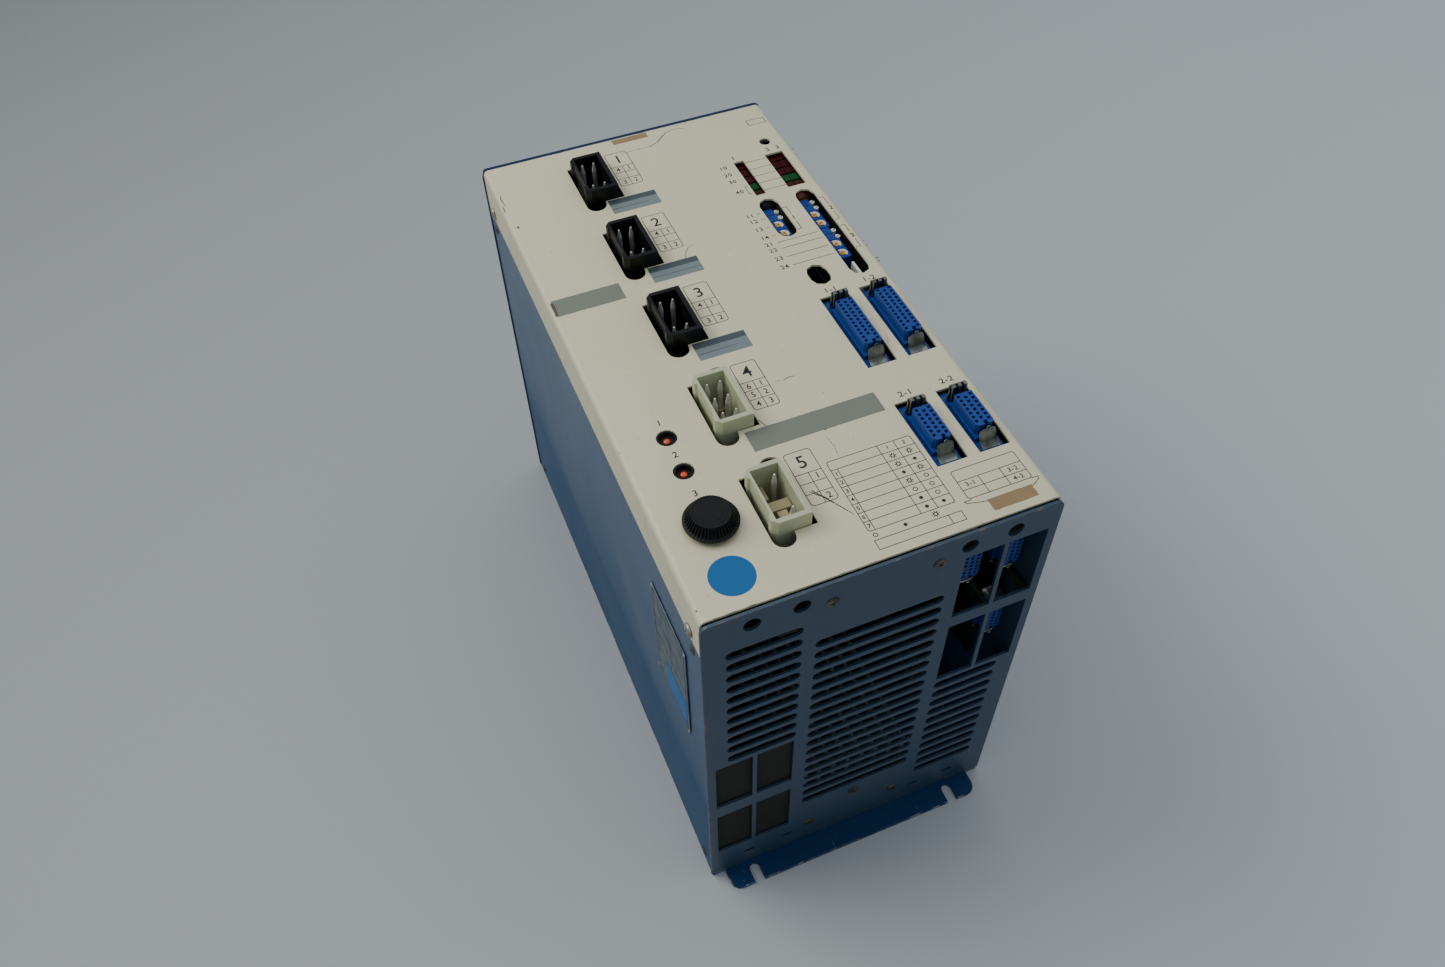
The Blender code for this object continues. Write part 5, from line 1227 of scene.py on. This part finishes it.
block(field, (face_x - 0.04 * MM, plate_low.y + 3.2 * MM, plate_low.z + 3.2 * MM),
      (face_x + 0.1 * MM, plate_low.y + 30.0 * MM, plate_low.z + 25.0 * MM))
dress(add_piece("nameplate_blue_field", field), blue_sticker)
for number, (y, z) in enumerate(((1.1, 1.1), (43.5, 1.1), (1.1, 72.3), (43.5, 72.3)), 1):
    rivet = bmesh.new()
    bmesh.ops.create_uvsphere(rivet, u_segments=16, v_segments=10, radius=0.9 * MM)
    bmesh.ops.scale(rivet, vec=(0.4, 1.0, 1.0), verts=rivet.verts)
    bmesh.ops.translate(rivet, vec=(face_x, plate_low.y + y * MM, plate_low.z + z * MM), verts=rivet.verts)
    dress(add_piece(f"nameplate_rivet_{number}", rivet), zinc)


# ---- Inside the case -------------------------------------------------------------------------
# What shows through the vents and windows: a small white block as a painted glint, the dark baffle, the green
# power board, the aluminium heat sink, two sleeved capacitors and the black fan with its rotor.

# Painted glint: a small white block placed inside the window where a bright spot shows.
glint_block = bmesh.new()
block(glint_block, (60.05 * MM, -157.0 * MM, 182.5 * MM), (62.8 * MM, -153.5 * MM, 186.2 * MM))
dress(add_piece("painted_glint_block", glint_block, 0.3 * MM), white_nylon)
baffle_grey = moulded_plastic(
    "baffle_sheet", (0.030, 0.029, 0.023), (0.022, 0.021, 0.017), 0.7, 0.2, dust=(0.05, 0.045, 0.035),
    Specular_IOR_Level=0.15)
dress(softened("window_baffle", 0.1 * MM), baffle_grey)
dress(softened("power_board", 0.1 * MM), board_green)
sink_metal = plated_metal("extruded_aluminium", (0.62, 0.63, 0.64), (0.42, 0.43, 0.44), 0.4)
dress(softened("heat_sink", 0.15 * MM), sink_metal)
sleeve = moulded_plastic("capacitor_sleeve", (0.05, 0.07, 0.10), (0.035, 0.05, 0.08), 0.35, 0.2)
for number in (1, 2):
    dress(softened(f"capacitor_{number}", 0.3 * MM), sleeve)
dress(softened("fan_frame", 0.3 * MM), black_moulding)
rotor = softened("fan_rotor", 0.3 * MM)
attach(rotor, "fan_rotor")
dress(rotor, black_moulding)


# ---- Camera, light and floor -----------------------------------------------------------------
# The drive lies on a pale matt table in soft daylight that comes from above and from one side.

camera_data = bpy.data.cameras.new("camera")
camera_data.lens = 29.40
camera_data.sensor_width = 36.0
camera_data.clip_start = 0.01
camera = bpy.data.objects.new("camera", camera_data)
bpy.context.scene.collection.objects.link(camera)
right = Vector((0.92379, -0.38268, -0.01282))
up = Vector((0.30187, 0.70729, 0.63923))
back = Vector((-0.23555, -0.59438, 0.76891))
camera.matrix_world = Matrix.Translation((-0.17289, -0.41500, 0.66484)) @ Matrix(
    ((right.x, up.x, back.x), (right.y, up.y, back.y), (right.z, up.z, back.z))).to_4x4()
bpy.context.scene.camera = camera


def area_light(name, power, size, place, target, colour):
    data = bpy.data.lights.new(name, "AREA")
    data.energy = power
    data.shape = "RECTANGLE"
    data.size, data.size_y = size
    data.color = colour
    lamp = bpy.data.objects.new(name, data)
    lamp.location = place
    lamp.rotation_mode = "QUATERNION"
    lamp.rotation_quaternion = (Vector(target) - Vector(place)).to_track_quat("-Z", "Y")
    bpy.context.scene.collection.objects.link(lamp)


area_light("window", 26.0, (1.6, 1.2), (-1.3, 0.9, 1.7), (0.0, 0.0, 0.1), (1.0, 0.98, 0.95))
area_light("ceiling", 16.0, (2.4, 2.4), (0.4, 0.3, 2.4), (0.0, 0.0, 0.0), (0.93, 0.96, 1.0))

world = bpy.data.worlds.new("daylight")
world.use_nodes = True
sky = world.node_tree.nodes["Background"]
sky.inputs["Color"].default_value = (0.74, 0.82, 0.95, 1.0)
sky.inputs["Strength"].default_value = 0.42
bpy.context.scene.world = world

table_shape = bmesh.new()
bmesh.ops.create_grid(table_shape, x_segments=8, y_segments=8, size=4.0)
table_mesh = bpy.data.meshes.new("table_top")
table_shape.to_mesh(table_mesh)
table_shape.free()
table_top = bpy.data.objects.new("table_top", table_mesh)
bpy.context.scene.collection.objects.link(table_top)
table_paper, table_tree, table_shader = new_material("matt_table", Roughness=0.85)
table_grain = placed_group(table_tree, GRAIN, Fine_Scale=60.0, Broad_Scale=1.6, Speck_Scale=40.0)
table_spot = node(table_tree, "ShaderNodeTexCoord").outputs["Object"]
table_axes = node(table_tree, "ShaderNodeSeparateXYZ", {0: table_spot}).outputs
# Painted light on the floor: the table's colour runs from dark to pale across X and Y.
painted_light_falloff = math_node(table_tree, "MULTIPLY", table_axes["X"], 0.36)
painted_light_falloff = math_node(table_tree, "ADD", painted_light_falloff, math_node(table_tree, "MULTIPLY", table_axes["Y"], -0.37))
painted_light_falloff = math_node(table_tree, "ADD", painted_light_falloff, 0.62, clamp=True)
table_tone = blend_colour(table_tree, table_grain["Broad"], (0.97, 0.97, 0.97), (1.0, 1.0, 1.0))
table_painted_light_slope = blend_colour(table_tree, painted_light_falloff, (0.18, 0.193, 0.194), (0.63, 0.665, 0.668))
table_tone = blend_colour(table_tree, 1.0, table_tone, table_painted_light_slope, "MULTIPLY")
table_tree.links.new(table_tone, table_shader.inputs["Base Color"])
table_mesh.materials.append(table_paper)
